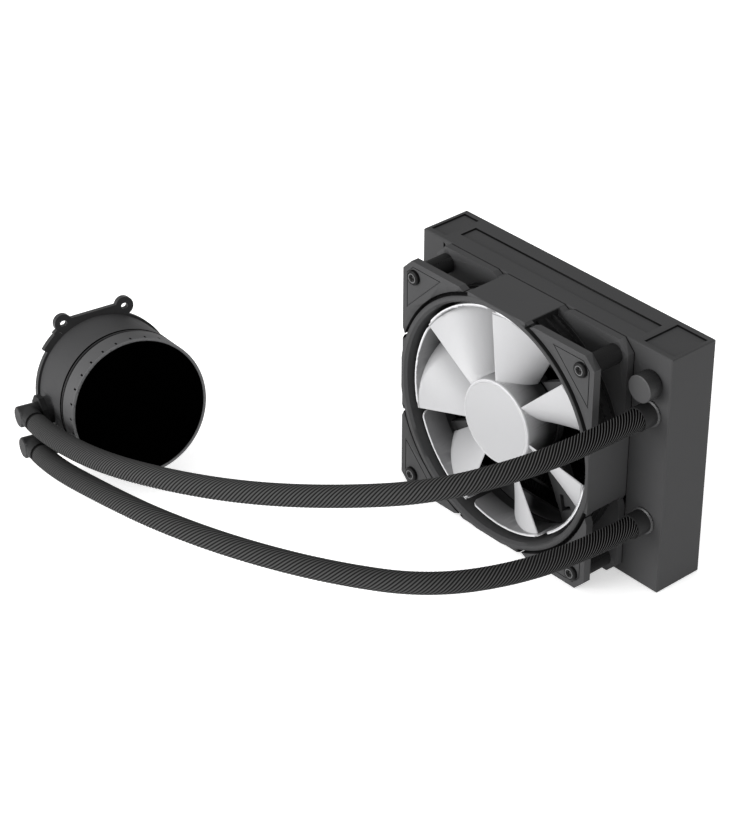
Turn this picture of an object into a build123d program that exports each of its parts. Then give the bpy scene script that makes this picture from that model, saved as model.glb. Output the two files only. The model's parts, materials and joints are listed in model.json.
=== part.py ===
from build123d import *
import os
from math import cos, degrees, radians, sin, sqrt, tan

os.makedirs("parts", exist_ok=True)

# A liquid cooler for one processor: a radiator with a 120 mm fan, a round pump block with a cold plate,
# and two braided hoses between them. Millimetres, +Z up. X runs along the radiator, -Y is the fan's
# front, and the origin is the centre of the radiator's bottom face.

# Clearances
RUNNING_FIT = 0.03
SLIP_FIT = 0.05
THREAD_FIT = 0.05
HOUSING_FIT = 0.1

# Fan frame, in the fan's own plane: z from its back face to its front
FAN_SIZE = 120.0
FAN_DEPTH = 25.0
SCREW_INSET = 7.5
BORE_MARGIN = 2.7
BARREL_WALL = 1.7
BACK_PLATE = 4.0
FRONT_PLATE = 4.0
LIP_WIDTH = 3.2
LIP_HEIGHT = 0.6
LIP_CHAMFER = 1.2
FACE_GROOVE_WIDTH = 1.7
FACE_GROOVE_DEPTH = 2.6
CORNER_CUT = 5.5
NOTCH_HALF_GAP = 17.6
NOTCH_WIDTH = 6.0
NOTCH_DEPTH = 1.4
PAD_HALF_WIDTH = 18.0
RIB_OVERHANG = 2.0
RIB_THICKNESS = 1.0
RIB_INSET = 0.4
RIB_HEIGHTS = (8.0, 12.5, 17.0)
COLUMN_RADIUS = 4.6
FRAME_HOLE_RADIUS = 2.15
LINE_INSET = 2.6
LINE_WIDTH = 0.5
LINE_DEPTH = 0.4
PANEL_LENGTH = 22.4
STRUT_WIDTH = 6.5
WIDE_STRUT_WIDTH = 13.0
STRUT_HUB_ANGLE = -38.0
STRUT_RIM_ANGLE = -55.0
MOTOR_BASE_RADIUS = 21.0
MOTOR_BASE_FLOOR = 2.0
MOTOR_BASE_RIM = 1.5
WIRE_SLOT = ((24.7, -34.3), (26.3, -41.2), (30.7, -38.9))
WIRE_SLOT_WIDTH = 2.2

# Radiator: its core is as long and as high as the fan
CORE_LENGTH = FAN_SIZE
TANK_LEFT_LENGTH = 13.5
TANK_RIGHT_LENGTH = 21.5
RAD_DEPTH = 27.0
RAD_HEIGHT = FAN_SIZE
TANK_WALL = 1.5
HEADER_THICKNESS = 1.5
CHANNEL_WALL = 1.5
CHANNEL_FLANGE = 12.0
EDGE_CHAMFER = 0.5
RECESS_DEPTH = 0.8
TANK_RECESS_MARGIN = 2.0
TANK_RECESS_HALF_WIDTH = 10.3
CHANNEL_RECESS_HALF_WIDTH = 4.8
CHANNEL_RECESS_MARGIN = 1.8
TUBE_COUNT = 14
TUBE_THICKNESS = 2.0
TUBE_DEPTH = 16.0
TUBE_WALL = 0.35
TUBE_REACH = 1.0
FIN_FOLDS = 18
FIN_FOIL = 0.6
FIN_CLEARANCE = 0.02
VENT_RADIUS = 1.4
VENT_DROP = 3.0
CASE_HOLE_RADIUS = 1.75

# Ports on the right tank
PORT_OFFSET = 10.5
BARB_LOW_Z = 34.0
BARB_DROP = 30.5
BARB_STEM_REACH = 1.0
BARB_STEM_RADIUS = 4.0
BARB_COLLAR_RADIUS = 6.3
BARB_COLLAR = 1.2
FERRULE_WALL = 0.55
FERRULE_LENGTH = 7.3
PLUG_DROP = 15.5
PLUG_RADIUS = 6.4
PLUG_LENGTH = 7.3
PLUG_STEM_RADIUS = 4.0
PLUG_STEM = 4.0
SEAL_THICKNESS = 0.8
SEAL_RADIUS = 5.8

# Hoses
HOSE_DIAMETER = 10.0
HOSE_BORE = 6.0
HOSE_TANGENT_SHARE = 0.45
SPIGOT_RADIUS = 2.9
SPIGOT_BORE = 2.0
SPIGOT_GRIP = 9.0
UPPER_ROUTE = [
    (-164.2, -173.1, 40.8), (-148, -177, 43), (-108.5, -177.5, 48.5), (-68, -170.5, 56),
    (-28.5, -158.5, 64), (8.5, -140, 72.5), (40, -115.5, 80), (59, -81, 86),
    (67, -42, 89.5), (67, -14.7, 89.5),
]
LOWER_ROUTE = [
    (-161.2, -173.7, 25.7), (-145, -177.5, 28), (-111, -176, 30.5), (-75, -171.5, 32),
    (-34, -160, 33), (6, -142, 33.5), (40.5, -118, 33.5), (60, -83, 34),
    (67, -42, 34), (67, -14.7, 34),
]

# Fan rotor
BLADE_COUNT = 7
LEAD_ANGLE = 44.0
BLADE_SWEEP = 33.0
BLADE_FRONT = 21.5
BLADE_BACK = 6.5
BLADE_ROOT = 19.5
LOFT_MARGIN = 2.8
BLADE_THICKNESS = 1.6
BLADE_EDGE = 0.6
BLADE_CAMBER = 0.08
TIP_GAP = 2.1
TIP_WALL = 1.2
TIP_BACK = 8.0
TIP_SPAN = 48.5
TIP_CORNER = 3.0
TIP_FALL = 1.5
HUB_RADIUS = 20.5
HUB_WALL = 1.6
HUB_BACK = 5.1
HUB_FRONT = 22.8
HUB_FACE = 2.0
HUB_BOSS_RADIUS = 3.0
HUB_BOSS = 3.0
HUB_EDGE = 0.8
HUB_SKIN = 0.5
DISC_RADIUS = 19.0
DISC_THICKNESS = 0.5

# Fan motor
FAN_SHAFT_RADIUS = 1.5
SLEEVE_RADIUS = 3.0
TUBE_OUTER_RADIUS = 4.5
BEARING_TOP = 17.5
CLIP_RADIUS = 2.6
CLIP_THICKNESS = 0.4
CLIP_PLAY = 0.1
CLIP_ROOM = 0.4
CLIP_GROOVE_RADIUS = 1.05
SHAFT_END_GAP = 0.4
MAGNET_WALL = 2.4
MAGNET_BACK = 6.5
MAGNET_FRONT = 17.0
CORE_RADIUS = 15.5
CORE_HUB_RADIUS = 7.0
CORE_BACK = 8.0
CORE_FRONT = 15.0
POLE_WIDTH = 4.0
POLE_SHOE = 1.6
COIL_BULGE = 1.5
COIL_LENGTH = 5.0
BOARD_RADIUS = 17.5
BOARD_THICKNESS = 1.6
BOARD_STEP = 0.5

# Fan screws
SCREW_RADIUS = 1.45
SCREW_HEAD_RADIUS = 3.6
SCREW_HEAD = 1.8
SCREW_HEAD_EDGE = 0.7
SCREW_PAST_FRAME = 3.8
CROSS_LENGTH = 3.6
CROSS_WIDTH = 0.9
CROSS_DEPTH = 1.0

# Pump, in its own frame: z is the pump's axis from the back, x points to the radiator, y is up its face
PUMP_X = -176.85
PUMP_Y = -125.0
PUMP_TURN = -13.7
PUMP_TILT = 11.5
PUMP_RADIUS = 33.0
PUMP_LENGTH = 44.0
SHELL_WALL = 2.0
SHELL_FRONT = 28.6
GROOVE_WIDTH = 3.4
GROOVE_DEPTH = 1.1
BAND_BACK_GAP = 1.0
BAND_FRONT_GAP = 0.6
BAND_SINK = 0.15
BEZEL_SPIGOT = 3.0
BEZEL_RIM = 3.5
LEDGE_WIDTH = 2.5
LEDGE_THICKNESS = 1.2
BEZEL_WALL = 1.45
LENS_THICKNESS = 1.5
TICK_STEP = 12.41
TICK_START = 101.6
TICK_COUNT = 29
TICK_WIDTH = 0.9
TICK_DEPTH = 0.9
TICK_LENGTH = 2.2
TICK_INSET = 1.0

# Pump mounting ring
RING_THICKNESS = 3.0
RING_BORE_INSET = 3.4
RING_OVERHANG = 1.2
RING_TURN = 2.3
EAR_SPREAD = 15.4
EAR_OVERHANG = 1.1
EAR_RADIUS = 4.4
EAR_HOLE_RADIUS = 1.3
EAR_HOLE_LENGTH = 3.4
FLANGE_OVERHANG = 2.65
LUG_OVERHANG = 3.4
LUG_START = 127.0
LUG_END = 141.0
TOOTH_OVERHANG = 4.1
TOOTH_SPAN = 4.0

# Cold plate, gasket and plate screws
PLATE_EDGE_GAP = 0.6
PLATE_THICKNESS = 3.0
PLATE_BACK = -1.5
MICRO_FIN_COUNT = 12
MICRO_FIN_THICKNESS = 0.5
MICRO_FIN_LENGTH = 20.0
MICRO_FIN_HEIGHT = 3.5
GASKET_INSET = 2.8
GASKET_WIDTH = 1.8
GASKET_THICKNESS = 1.0
PLATE_SCREW_COUNT = 8
PLATE_SCREW_INSET = 2.8
PLATE_SCREW_RADIUS = 1.2
PLATE_HEAD_RADIUS = 2.2
PLATE_HEAD = 1.2
PLATE_SCREW_GRIP = 5.5
SCREW_POCKET_SPARE = 1.0

# Pump base, impeller and motor
BASE_FRONT = 19.0
BASE_EDGE = 0.2
FIN_CHAMBER_WIDTH = 23.0
FIN_CHAMBER_FRONT = 5.6
CHAMBER_STEP = 0.5
CHAMBER_BACK = 10.6
EYE_RADIUS = 1.8
EYE_CIRCLE = 4.6
EYE_COUNT = 3
DUCT_RADIUS = 3.0
DROP_REACH = 9.0
DROP_RADIUS = 1.5
IMPELLER_GAP = 1.0
IMPELLER_HUB_RADIUS = 3.0
VANE_BACK = 11.6
VANE_HEIGHT = 1.6
VANE_WIDTH = 1.0
VANE_COUNT = 6
IMPELLER_DISC = 1.2
MAGNET_GAP = 0.8
MAGNET_INNER = 4.0
PUMP_MAGNET_BACK = 16.0
PUMP_MAGNET_FRONT = 26.8
PUMP_SHAFT_RADIUS = 1.25
SHAFT_BACK = 9.0
COIL_SPACE = 8.5
CAN_WALL = 0.8
CAN_FLANGE_INSET = 7.0
CAN_FLANGE = 1.4
CAN_FRONT = 29.2
CAN_CAP = 1.5
YOKE_INSET = 5.5
YOKE_WALL = 3.5
STATOR_BACK = 21.5
STATOR_FRONT = 27.0
TOOTH_COUNT = 6
TOOTH_WIDTH = 4.0
TOOTH_GAP = 0.2
PUMP_COIL_BULGE = 1.0
PUMP_COIL_LENGTH = 5.5
PUMP_BOARD_THICKNESS = 1.6

# Swivel elbows on the pump
PORT_Z = 14.0
PORT_UPPER_Y = -1.5
PORT_LOWER_Y = -16.9
BOSS_RADIUS = 6.5
BOSS_HEIGHT = 3.0
COLLAR_APOTHEM = 7.4
COLLAR_SIDES = 8
COLLAR_THICKNESS = 2.6
BARREL_RADIUS = 5.0
BARREL_LENGTH = 10.0
BARREL_GAP = 0.1
BARREL_CHAMFER = 0.6
ELBOW_STEM_RADIUS = 4.2
STEM_DEPTH = 4.0
ELBOW_BORE = 2.2
ELBOW_SLEEVE_RADIUS = 4.9
ELBOW_SLEEVE = 9.7
ELBOW_FACE_GAP = 0.3
SEAL_GROOVE = 0.7
SEAL_WIDTH = 1.2
SEAL_INSET = 2.6

# Sizes and places that follow from the ones above
RAD_LENGTH = TANK_LEFT_LENGTH + CORE_LENGTH + TANK_RIGHT_LENGTH
X_LEFT = -RAD_LENGTH / 2
X_RIGHT = RAD_LENGTH / 2
CORE_LEFT = X_LEFT + TANK_LEFT_LENGTH
CORE_RIGHT = X_RIGHT - TANK_RIGHT_LENGTH
FRONT_Y = -RAD_DEPTH / 2
FAN_X = (CORE_LEFT + CORE_RIGHT) / 2
FAN_Z = RAD_HEIGHT / 2
PORT_X = X_RIGHT - PORT_OFFSET
BARB_HIGH_Z = RAD_HEIGHT - BARB_DROP
PLUG_Z = RAD_HEIGHT - PLUG_DROP
HALF_SPACING = FAN_SIZE / 2 - SCREW_INSET
TUBE_SPACE = RAD_HEIGHT - 2 * CHANNEL_WALL
FIN_HEIGHT = (TUBE_SPACE - TUBE_COUNT * TUBE_THICKNESS) / (TUBE_COUNT + 1)
TUBE_PITCH = FIN_HEIGHT + TUBE_THICKNESS
FIRST_TUBE_Z = CHANNEL_WALL + FIN_HEIGHT + TUBE_THICKNESS / 2
HOSE_RADIUS = HOSE_DIAMETER / 2
FERRULE_BORE = HOSE_RADIUS + SLIP_FIT
FERRULE_RADIUS = FERRULE_BORE + FERRULE_WALL
BORE_RADIUS = FAN_SIZE / 2 - BORE_MARGIN
BARREL_OUTER = BORE_RADIUS + BARREL_WALL
LIP_RADIUS = BORE_RADIUS + LIP_WIDTH
RIB_RADIUS = BARREL_OUTER + RIB_OVERHANG
PLATE_FACE = FAN_DEPTH - LIP_HEIGHT
FRONT_PLATE_BACK = PLATE_FACE - FRONT_PLATE
TIP_RADIUS = BORE_RADIUS - TIP_GAP
HUB_ROOF = HUB_FRONT - HUB_FACE
SHAFT_FRONT = HUB_FRONT - DISC_THICKNESS - HUB_SKIN
HUB_BORE = HUB_RADIUS - HUB_WALL
BOSS_BACK = HUB_ROOF - HUB_BOSS
SLEEVE_BORE = FAN_SHAFT_RADIUS + RUNNING_FIT
BOARD_BACK = MOTOR_BASE_FLOOR + BOARD_STEP
CLIP_BACK = BOARD_BACK + CLIP_PLAY
SHAFT_BACK_END = MOTOR_BASE_FLOOR - SHAFT_END_GAP
PLATE_FRONT = PLATE_BACK + PLATE_THICKNESS
SHELL_BORE = PUMP_RADIUS - SHELL_WALL
BEZEL_BORE = PUMP_RADIUS - BEZEL_RIM
RING_INNER = PUMP_RADIUS - RING_BORE_INSET
RING_OUTER = PUMP_RADIUS + RING_OVERHANG
EAR_REACH = PUMP_RADIUS + EAR_OVERHANG
FLANGE_REACH = PUMP_RADIUS + FLANGE_OVERHANG
LUG_RADIUS = PUMP_RADIUS + LUG_OVERHANG
TOOTH_RADIUS = PUMP_RADIUS + TOOTH_OVERHANG
PLATE_RADIUS = RING_INNER - PLATE_EDGE_GAP
PLATE_SCREW_CIRCLE = PLATE_RADIUS - PLATE_SCREW_INSET
GASKET_OUTER = PLATE_SCREW_CIRCLE - GASKET_INSET
GASKET_INNER = GASKET_OUTER - GASKET_WIDTH
BASE_RADIUS = SHELL_BORE - BASE_EDGE
BEZEL_BACK = SHELL_FRONT + GROOVE_WIDTH
LENS_RADIUS = PUMP_RADIUS - BEZEL_WALL
LEDGE_FRONT = BEZEL_BACK - GROOVE_WIDTH / 2
YOKE_RADIUS = BEZEL_BORE - YOKE_INSET
YOKE_BORE = YOKE_RADIUS - YOKE_WALL
CAN_FLANGE_RADIUS = SHELL_BORE - CAN_FLANGE_INSET
CAN_RADIUS = YOKE_BORE - COIL_SPACE
CAN_BORE = CAN_RADIUS - CAN_WALL
MAGNET_OUTER = CAN_BORE - MAGNET_GAP
CHAMBER_RADIUS = CAN_RADIUS + CHAMBER_STEP
IMPELLER_RADIUS = CHAMBER_RADIUS - IMPELLER_GAP
BOSS_REACH = PUMP_RADIUS + BOSS_HEIGHT
COLLAR_REACH = BOSS_REACH + COLLAR_THICKNESS
BARREL_REACH = COLLAR_REACH + BARREL_GAP + BARREL_LENGTH
ELBOW_AXIS_REACH = BARREL_REACH - BARREL_LENGTH / 2
ELBOW_STEM_INNER = PUMP_RADIUS - STEM_DEPTH
SEAL_REACH = BOSS_REACH - SEAL_INSET
STEM_BORE = ELBOW_STEM_RADIUS + SLIP_FIT

# The pump leans back on its lowest ear, so its height follows from the ears and the tilt.
EAR_DROP = EAR_REACH * cos(radians(RING_TURN)) + EAR_SPREAD * sin(radians(RING_TURN))
PUMP_Z = (EAR_DROP + EAR_RADIUS) * cos(radians(PUMP_TILT))

FAN = Plane(origin=(FAN_X, FRONT_Y, FAN_Z), x_dir=(1, 0, 0), z_dir=(0, -1, 0))
PUMP_AXIS = (
    cos(radians(PUMP_TILT)) * cos(radians(PUMP_TURN)),
    cos(radians(PUMP_TILT)) * sin(radians(PUMP_TURN)),
    sin(radians(PUMP_TILT)),
)
PUMP_SIDE = (-sin(radians(PUMP_TURN)), cos(radians(PUMP_TURN)), 0)
PUMP = Plane(origin=(PUMP_X, PUMP_Y, PUMP_Z), x_dir=PUMP_SIDE, z_dir=PUMP_AXIS)


def rod(radius, back, front):
    """A cylinder on the local z axis from one height to another."""
    return Pos(0, 0, back) * Cylinder(radius, front - back, align=(Align.CENTER, Align.CENTER, Align.MIN))


def ring(outer, inner, back, front):
    """A round tube on the local z axis."""
    return rod(outer, back, front) - rod(inner, back, front)


def slab(sketch, back, front):
    """A sketch in the local xy plane made solid between two heights."""
    return extrude(Pos(0, 0, back) * sketch, amount=front - back, dir=(0, 0, 1))


def block(x0, x1, y0, y1, z0, z1):
    """A box between two corners."""
    return Pos((x0 + x1) / 2, (y0 + y1) / 2, (z0 + z1) / 2) * Box(x1 - x0, y1 - y0, z1 - z0)


def around(count, shape, start=0.0):
    """Equal copies of a shape turned about the local z axis."""
    return [Rot(0, 0, start + k * 360 / count) * shape for k in range(count)]


def group(shapes):
    """Separate solids kept together as one sub-part."""
    return Compound([solid for shape in shapes for solid in shape.solids()])


def at_corners(shape):
    """A shape at each of the fan's four screw places."""
    return [Pos(sx * HALF_SPACING, sy * HALF_SPACING, 0) * shape for sx in (-1, 1) for sy in (-1, 1)]


# Radiator

def front_port(z):
    """The plane on the radiator's front face where a port of the right tank sits."""
    return Plane(origin=(PORT_X, FRONT_Y, z), x_dir=(1, 0, 0), z_dir=(0, -1, 0))


def tank_box(inner_x, outer_x):
    """A tank's folded shell: open towards the core, with softened outer edges and a shallow top recess."""
    low, high = min(inner_x, outer_x), max(inner_x, outer_x)
    side = 1 if outer_x > inner_x else -1
    shell = block(low, high, -RAD_DEPTH / 2, RAD_DEPTH / 2, 0, RAD_HEIGHT)
    outer_edges = shell.faces().sort_by(Axis.X)[-1 if side > 0 else 0].edges()
    shell = chamfer(outer_edges + shell.edges().filter_by(Axis.X), EDGE_CHAMFER)
    inner = RAD_DEPTH / 2 - TANK_WALL
    ends = sorted((inner_x, outer_x - side * TANK_WALL))
    shell -= block(ends[0], ends[1], -inner, inner, TANK_WALL, RAD_HEIGHT - TANK_WALL)
    recess = (low + TANK_RECESS_MARGIN, high - TANK_RECESS_MARGIN)
    half = TANK_RECESS_HALF_WIDTH
    return shell - block(*recess, -half, half, RAD_HEIGHT - RECESS_DEPTH, RAD_HEIGHT)


def left_tank():
    return tank_box(CORE_LEFT, X_LEFT)


def right_tank():
    """The wide tank, with a wall that parts the flow out from the flow back, and three threaded ports."""
    tank = tank_box(CORE_RIGHT, X_RIGHT)
    inner = RAD_DEPTH / 2 - TANK_WALL
    middle = RAD_HEIGHT / 2
    tank += block(CORE_RIGHT + HEADER_THICKNESS, X_RIGHT - TANK_WALL, -inner, inner,
                  middle - TANK_WALL / 2, middle + TANK_WALL / 2)
    for z in (BARB_LOW_Z, BARB_HIGH_Z):
        tank -= front_port(z) * rod(BARB_STEM_RADIUS + THREAD_FIT, -TANK_WALL, 0)
    return tank - front_port(PLUG_Z) * rod(PLUG_STEM_RADIUS + THREAD_FIT, -TANK_WALL, 0)


def tube_heights():
    return [FIRST_TUBE_Z + k * TUBE_PITCH for k in range(TUBE_COUNT)]


def along_x(sketch, x0, x1, z):
    """A sketch with its length across the radiator, extruded along it."""
    return extrude(Plane(origin=(x0, 0, z), x_dir=(0, 1, 0), z_dir=(1, 0, 0)) * sketch, amount=x1 - x0)


def header_plate(x0):
    """The plate that closes a tank towards the core, slotted for the flat tubes."""
    inner = RAD_DEPTH / 2 - TANK_WALL
    plate = block(x0, x0 + HEADER_THICKNESS, -inner, inner, TANK_WALL, RAD_HEIGHT - TANK_WALL)
    slot = Rectangle(TUBE_DEPTH + 2 * SLIP_FIT, TUBE_THICKNESS + 2 * SLIP_FIT)
    return plate - [along_x(slot, x0, x0 + HEADER_THICKNESS, z) for z in tube_heights()]


def flat_tubes():
    """Hollow flat tubes with rounded noses that reach into both tanks."""
    nose = TUBE_THICKNESS / 2 - TUBE_WALL / 2
    section = RectangleRounded(TUBE_DEPTH, TUBE_THICKNESS, nose)
    section -= Rectangle(TUBE_DEPTH - TUBE_THICKNESS, TUBE_THICKNESS - 2 * TUBE_WALL)
    x0 = CORE_LEFT - HEADER_THICKNESS - TUBE_REACH
    x1 = CORE_RIGHT + HEADER_THICKNESS + TUBE_REACH
    return group([along_x(section, x0, x1, z) for z in tube_heights()])


def fin_row(base):
    """One folded foil strip between two tubes."""
    low = base + FIN_CLEARANCE
    high = base + FIN_HEIGHT - FIN_CLEARANCE - FIN_FOIL
    x0 = CORE_LEFT + FIN_CLEARANCE
    step = (CORE_LENGTH - 2 * FIN_CLEARANCE) / (2 * FIN_FOLDS)
    fold = [(x0 + k * step, high if k % 2 else low) for k in range(2 * FIN_FOLDS + 1)]
    outline = fold + [(x, z + FIN_FOIL) for x, z in reversed(fold)]
    face = Plane.XZ * make_face(Polyline(*outline, close=True))
    return extrude(face, amount=TUBE_DEPTH / 2, dir=(0, -1, 0), both=True)


def fins():
    return group([fin_row(CHANNEL_WALL + k * TUBE_PITCH) for k in range(TUBE_COUNT + 1)])


def side_channel(web_z, inward):
    """The channel along the core's top or bottom: fan screw holes in front, wider case screw holes behind."""
    z0, z1 = sorted((web_z, web_z + inward * CHANNEL_FLANGE))
    half = RAD_DEPTH / 2
    channel = block(CORE_LEFT, CORE_RIGHT, -half, half, z0, z1)
    web = channel.faces().sort_by(Axis.Z)[0 if inward > 0 else -1]
    channel = chamfer(web.edges().filter_by(Axis.X), EDGE_CHAMFER)
    z0, z1 = sorted((web_z + inward * CHANNEL_WALL, web_z + inward * CHANNEL_FLANGE))
    inner = half - CHANNEL_WALL
    channel -= block(CORE_LEFT, CORE_RIGHT, -inner, inner, z0, z1)
    fan_hole = rod(SCREW_RADIUS + THREAD_FIT, -CHANNEL_WALL, 0)
    case_hole = rod(CASE_HOLE_RADIUS, -RAD_DEPTH, CHANNEL_WALL - RAD_DEPTH)
    holes = at_corners(fan_hole) + at_corners(case_hole)
    return channel - [FAN * hole for hole in holes]


def top_channel():
    """The upper channel has a shallow recess along its web, and a half-round vent at the left tank."""
    channel = side_channel(RAD_HEIGHT, -1)
    half = CHANNEL_RECESS_HALF_WIDTH
    channel -= block(CORE_LEFT + CHANNEL_RECESS_MARGIN, CORE_RIGHT - CHANNEL_RECESS_MARGIN,
                     -half, half, RAD_HEIGHT - RECESS_DEPTH, RAD_HEIGHT)
    vent = Plane(origin=(CORE_LEFT, FRONT_Y, RAD_HEIGHT - VENT_DROP), z_dir=(0, -1, 0))
    return channel - vent * rod(VENT_RADIUS, -CHANNEL_WALL, 0)


def barb(z):
    """A hose barb: threaded stem, thin collar and bored spigot."""
    back, front = -TANK_WALL - BARB_STEM_REACH, BARB_COLLAR + FERRULE_LENGTH + SPIGOT_GRIP
    body = rod(BARB_STEM_RADIUS, back, 0) + rod(BARB_COLLAR_RADIUS, 0, BARB_COLLAR)
    body += rod(SPIGOT_RADIUS, BARB_COLLAR, front)
    return front_port(z) * (body - rod(SPIGOT_BORE, back, front))


def ferrule(z):
    """The sleeve that grips the hose against its barb."""
    sleeve = ring(FERRULE_RADIUS, FERRULE_BORE, BARB_COLLAR, BARB_COLLAR + FERRULE_LENGTH)
    return front_port(z) * sleeve


def fill_plug():
    plug = rod(PLUG_RADIUS, SEAL_THICKNESS, SEAL_THICKNESS + PLUG_LENGTH)
    plug = chamfer(plug.edges().sort_by(Axis.Z)[-1], FERRULE_WALL / 2)
    return front_port(PLUG_Z) * (plug + rod(PLUG_STEM_RADIUS, -PLUG_STEM, SEAL_THICKNESS))


def fill_seal():
    return front_port(PLUG_Z) * ring(SEAL_RADIUS, PLUG_STEM_RADIUS + THREAD_FIT, 0, SEAL_THICKNESS)


# Hoses

def route_radii(points):
    """The bend at each corner: its arc leaves straight stretches on both neighbours."""
    runs = [Vector(*b) - Vector(*a) for a, b in zip(points, points[1:])]
    radii = []
    for before, after in zip(runs, runs[1:]):
        half_turn = radians(before.get_angle(after)) / 2
        radii.append(HOSE_TANGENT_SHARE * min(before.length, after.length) / tan(half_turn))
    return radii


def hose(points):
    """A round hose along straight runs joined by tangent arcs."""
    radii = route_radii(points)
    print("bend radii, mm:", [round(radius, 1) for radius in radii])
    path = FilletPolyline(*points, radius=radii)
    start = Plane(origin=points[0], z_dir=Vector(*points[1]) - Vector(*points[0]))
    skin = sweep(start * Circle(HOSE_RADIUS), path=path)
    return skin - sweep(start * Circle(HOSE_BORE / 2), path=path)


# Fan frame

def fan_outline(inset=0.0):
    """The square outline with cut corners and a shallow notch pair on each side."""
    half = FAN_SIZE / 2 - inset
    cut = half - CORNER_CUT
    inner, outer = NOTCH_HALF_GAP, NOTCH_HALF_GAP + NOTCH_WIDTH
    tip, floor = (inner + outer) / 2, half - NOTCH_DEPTH
    side = [(cut, half), (outer, half), (tip, floor), (inner, half),
            (-inner, half), (-tip, floor), (-outer, half), (-cut, half)]
    points = list(side)
    for _ in range(3):
        side = [(-y, x) for x, y in side]
        points += side
    return make_face(Polyline(*points, close=True))


def frame_shell():
    """Front and back plates, barrel, ring lip, cooling ribs, side pads and screw columns."""
    outline = fan_outline()
    body = slab(outline, 0, BACK_PLATE) + slab(outline, FRONT_PLATE_BACK, PLATE_FACE)
    body += rod(BARREL_OUTER, 0, PLATE_FACE)
    body += slab(outline & Circle(LIP_RADIUS), PLATE_FACE, FAN_DEPTH)
    rib = fan_outline(RIB_INSET) & Circle(RIB_RADIUS)
    for height in RIB_HEIGHTS:
        body += slab(rib, height - RIB_THICKNESS / 2, height + RIB_THICKNESS / 2)
    pad = block(-PAD_HALF_WIDTH, PAD_HALF_WIDTH, BORE_RADIUS - BARREL_WALL, FAN_SIZE / 2, 0, PLATE_FACE)
    body += around(4, pad)
    return body + at_corners(rod(COLUMN_RADIUS, BACK_PLATE, FRONT_PLATE_BACK))


def strut(width, hub_angle, rim_angle):
    """A flat arm from the motor base to the barrel."""
    hub = Vector(MOTOR_BASE_RADIUS - MOTOR_BASE_RIM, 0).rotate(Axis.Z, hub_angle)
    rim = Vector(BORE_RADIUS + BARREL_WALL / 2, 0).rotate(Axis.Z, rim_angle)
    side = (rim - hub).normalized().rotate(Axis.Z, 90) * (width / 2)
    return make_face(Polyline(hub + side, hub - side, rim - side, rim + side, close=True))


def motor_base():
    """The dished disc in the middle of the struts, with the bearing tube on it."""
    base = rod(MOTOR_BASE_RADIUS, 0, BACK_PLATE)
    base -= rod(MOTOR_BASE_RADIUS - MOTOR_BASE_RIM, MOTOR_BASE_FLOOR, BACK_PLATE)
    base += rod(TUBE_OUTER_RADIUS, MOTOR_BASE_FLOOR, BEARING_TOP)
    base += rod(TUBE_OUTER_RADIUS + BOARD_STEP, MOTOR_BASE_FLOOR, BOARD_BACK)
    return base - rod(SLEEVE_RADIUS + SLIP_FIT, SHAFT_BACK_END - SHAFT_END_GAP, BEARING_TOP)


def struts():
    """Four arms, of which the lower right one is wide and has the slot for the fan's wires."""
    arms = slab(strut(WIDE_STRUT_WIDTH, STRUT_HUB_ANGLE, STRUT_RIM_ANGLE), 0, BACK_PLATE)
    arms -= slab(trace(Polyline(*WIRE_SLOT), WIRE_SLOT_WIDTH), 0, BACK_PLATE)
    for k in (1, 2, 3):
        arm = strut(STRUT_WIDTH, STRUT_HUB_ANGLE + 90 * k, STRUT_RIM_ANGLE + 90 * k)
        arms += slab(arm, 0, BACK_PLATE)
    pocket = rod(MOTOR_BASE_RADIUS - MOTOR_BASE_RIM / 2, 0, BACK_PLATE)
    return arms - pocket


def face_groove():
    """The deep groove between the ring lip and the four corners of the front plate."""
    groove = Circle(LIP_RADIUS + FACE_GROOVE_WIDTH) - Circle(LIP_RADIUS)
    groove -= [Rectangle(FAN_SIZE, 2 * PAD_HALF_WIDTH), Rectangle(2 * PAD_HALF_WIDTH, FAN_SIZE)]
    return slab(groove, PLATE_FACE - FACE_GROOVE_DEPTH, PLATE_FACE)


def corner_line():
    """The fine engraved line round the three-sided panel at a corner of the front plate."""
    edge = FAN_SIZE / 2 - LINE_INSET
    bend = FAN_SIZE / 2 - CORNER_CUT - LINE_INSET * (sqrt(2) - 1)
    end = edge - PANEL_LENGTH
    panel = make_face(Polyline((edge, end), (edge, bend), (bend, edge), (end, edge), close=True))
    line = panel - offset(panel, -LINE_WIDTH, kind=Kind.INTERSECTION)
    return slab(line, PLATE_FACE - LINE_DEPTH, PLATE_FACE)


def fan_frame():
    body = frame_shell() - rod(BORE_RADIUS, 0, FAN_DEPTH)
    mouth = Cone(BORE_RADIUS, BORE_RADIUS + LIP_CHAMFER, LIP_CHAMFER,
                 align=(Align.CENTER, Align.CENTER, Align.MAX))
    body -= Pos(0, 0, FAN_DEPTH) * mouth
    body += struts() + motor_base()
    body -= at_corners(rod(FRAME_HOLE_RADIUS, 0, PLATE_FACE))
    body -= face_groove()
    body -= around(4, corner_line())
    return FAN * body


# Fan rotor

def blade_section(reach):
    """A cambered section across the blade's middle line, bulging towards the front."""
    half = reach * tan(radians(BLADE_SWEEP / 2))
    lead, trail = Vector(half, BLADE_FRONT), Vector(-half, BLADE_BACK)
    chord = lead - trail
    normal = Vector(-chord.Y, chord.X).normalized()
    rise = normal * chord.length * BLADE_CAMBER
    crown = (lead + trail) / 2 + rise
    edge, thick = normal * BLADE_EDGE / 2, normal * BLADE_THICKNESS / 2
    front = ThreePointArc(lead + edge, crown + thick, trail + edge)
    back = ThreePointArc(trail - edge, crown - thick, lead - edge)
    outline = [front, Line(trail + edge, trail - edge), back, Line(lead - edge, lead + edge)]
    return Plane(origin=(reach, 0, 0), x_dir=(0, 1, 0), z_dir=(1, 0, 0)) * make_face(outline)


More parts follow.
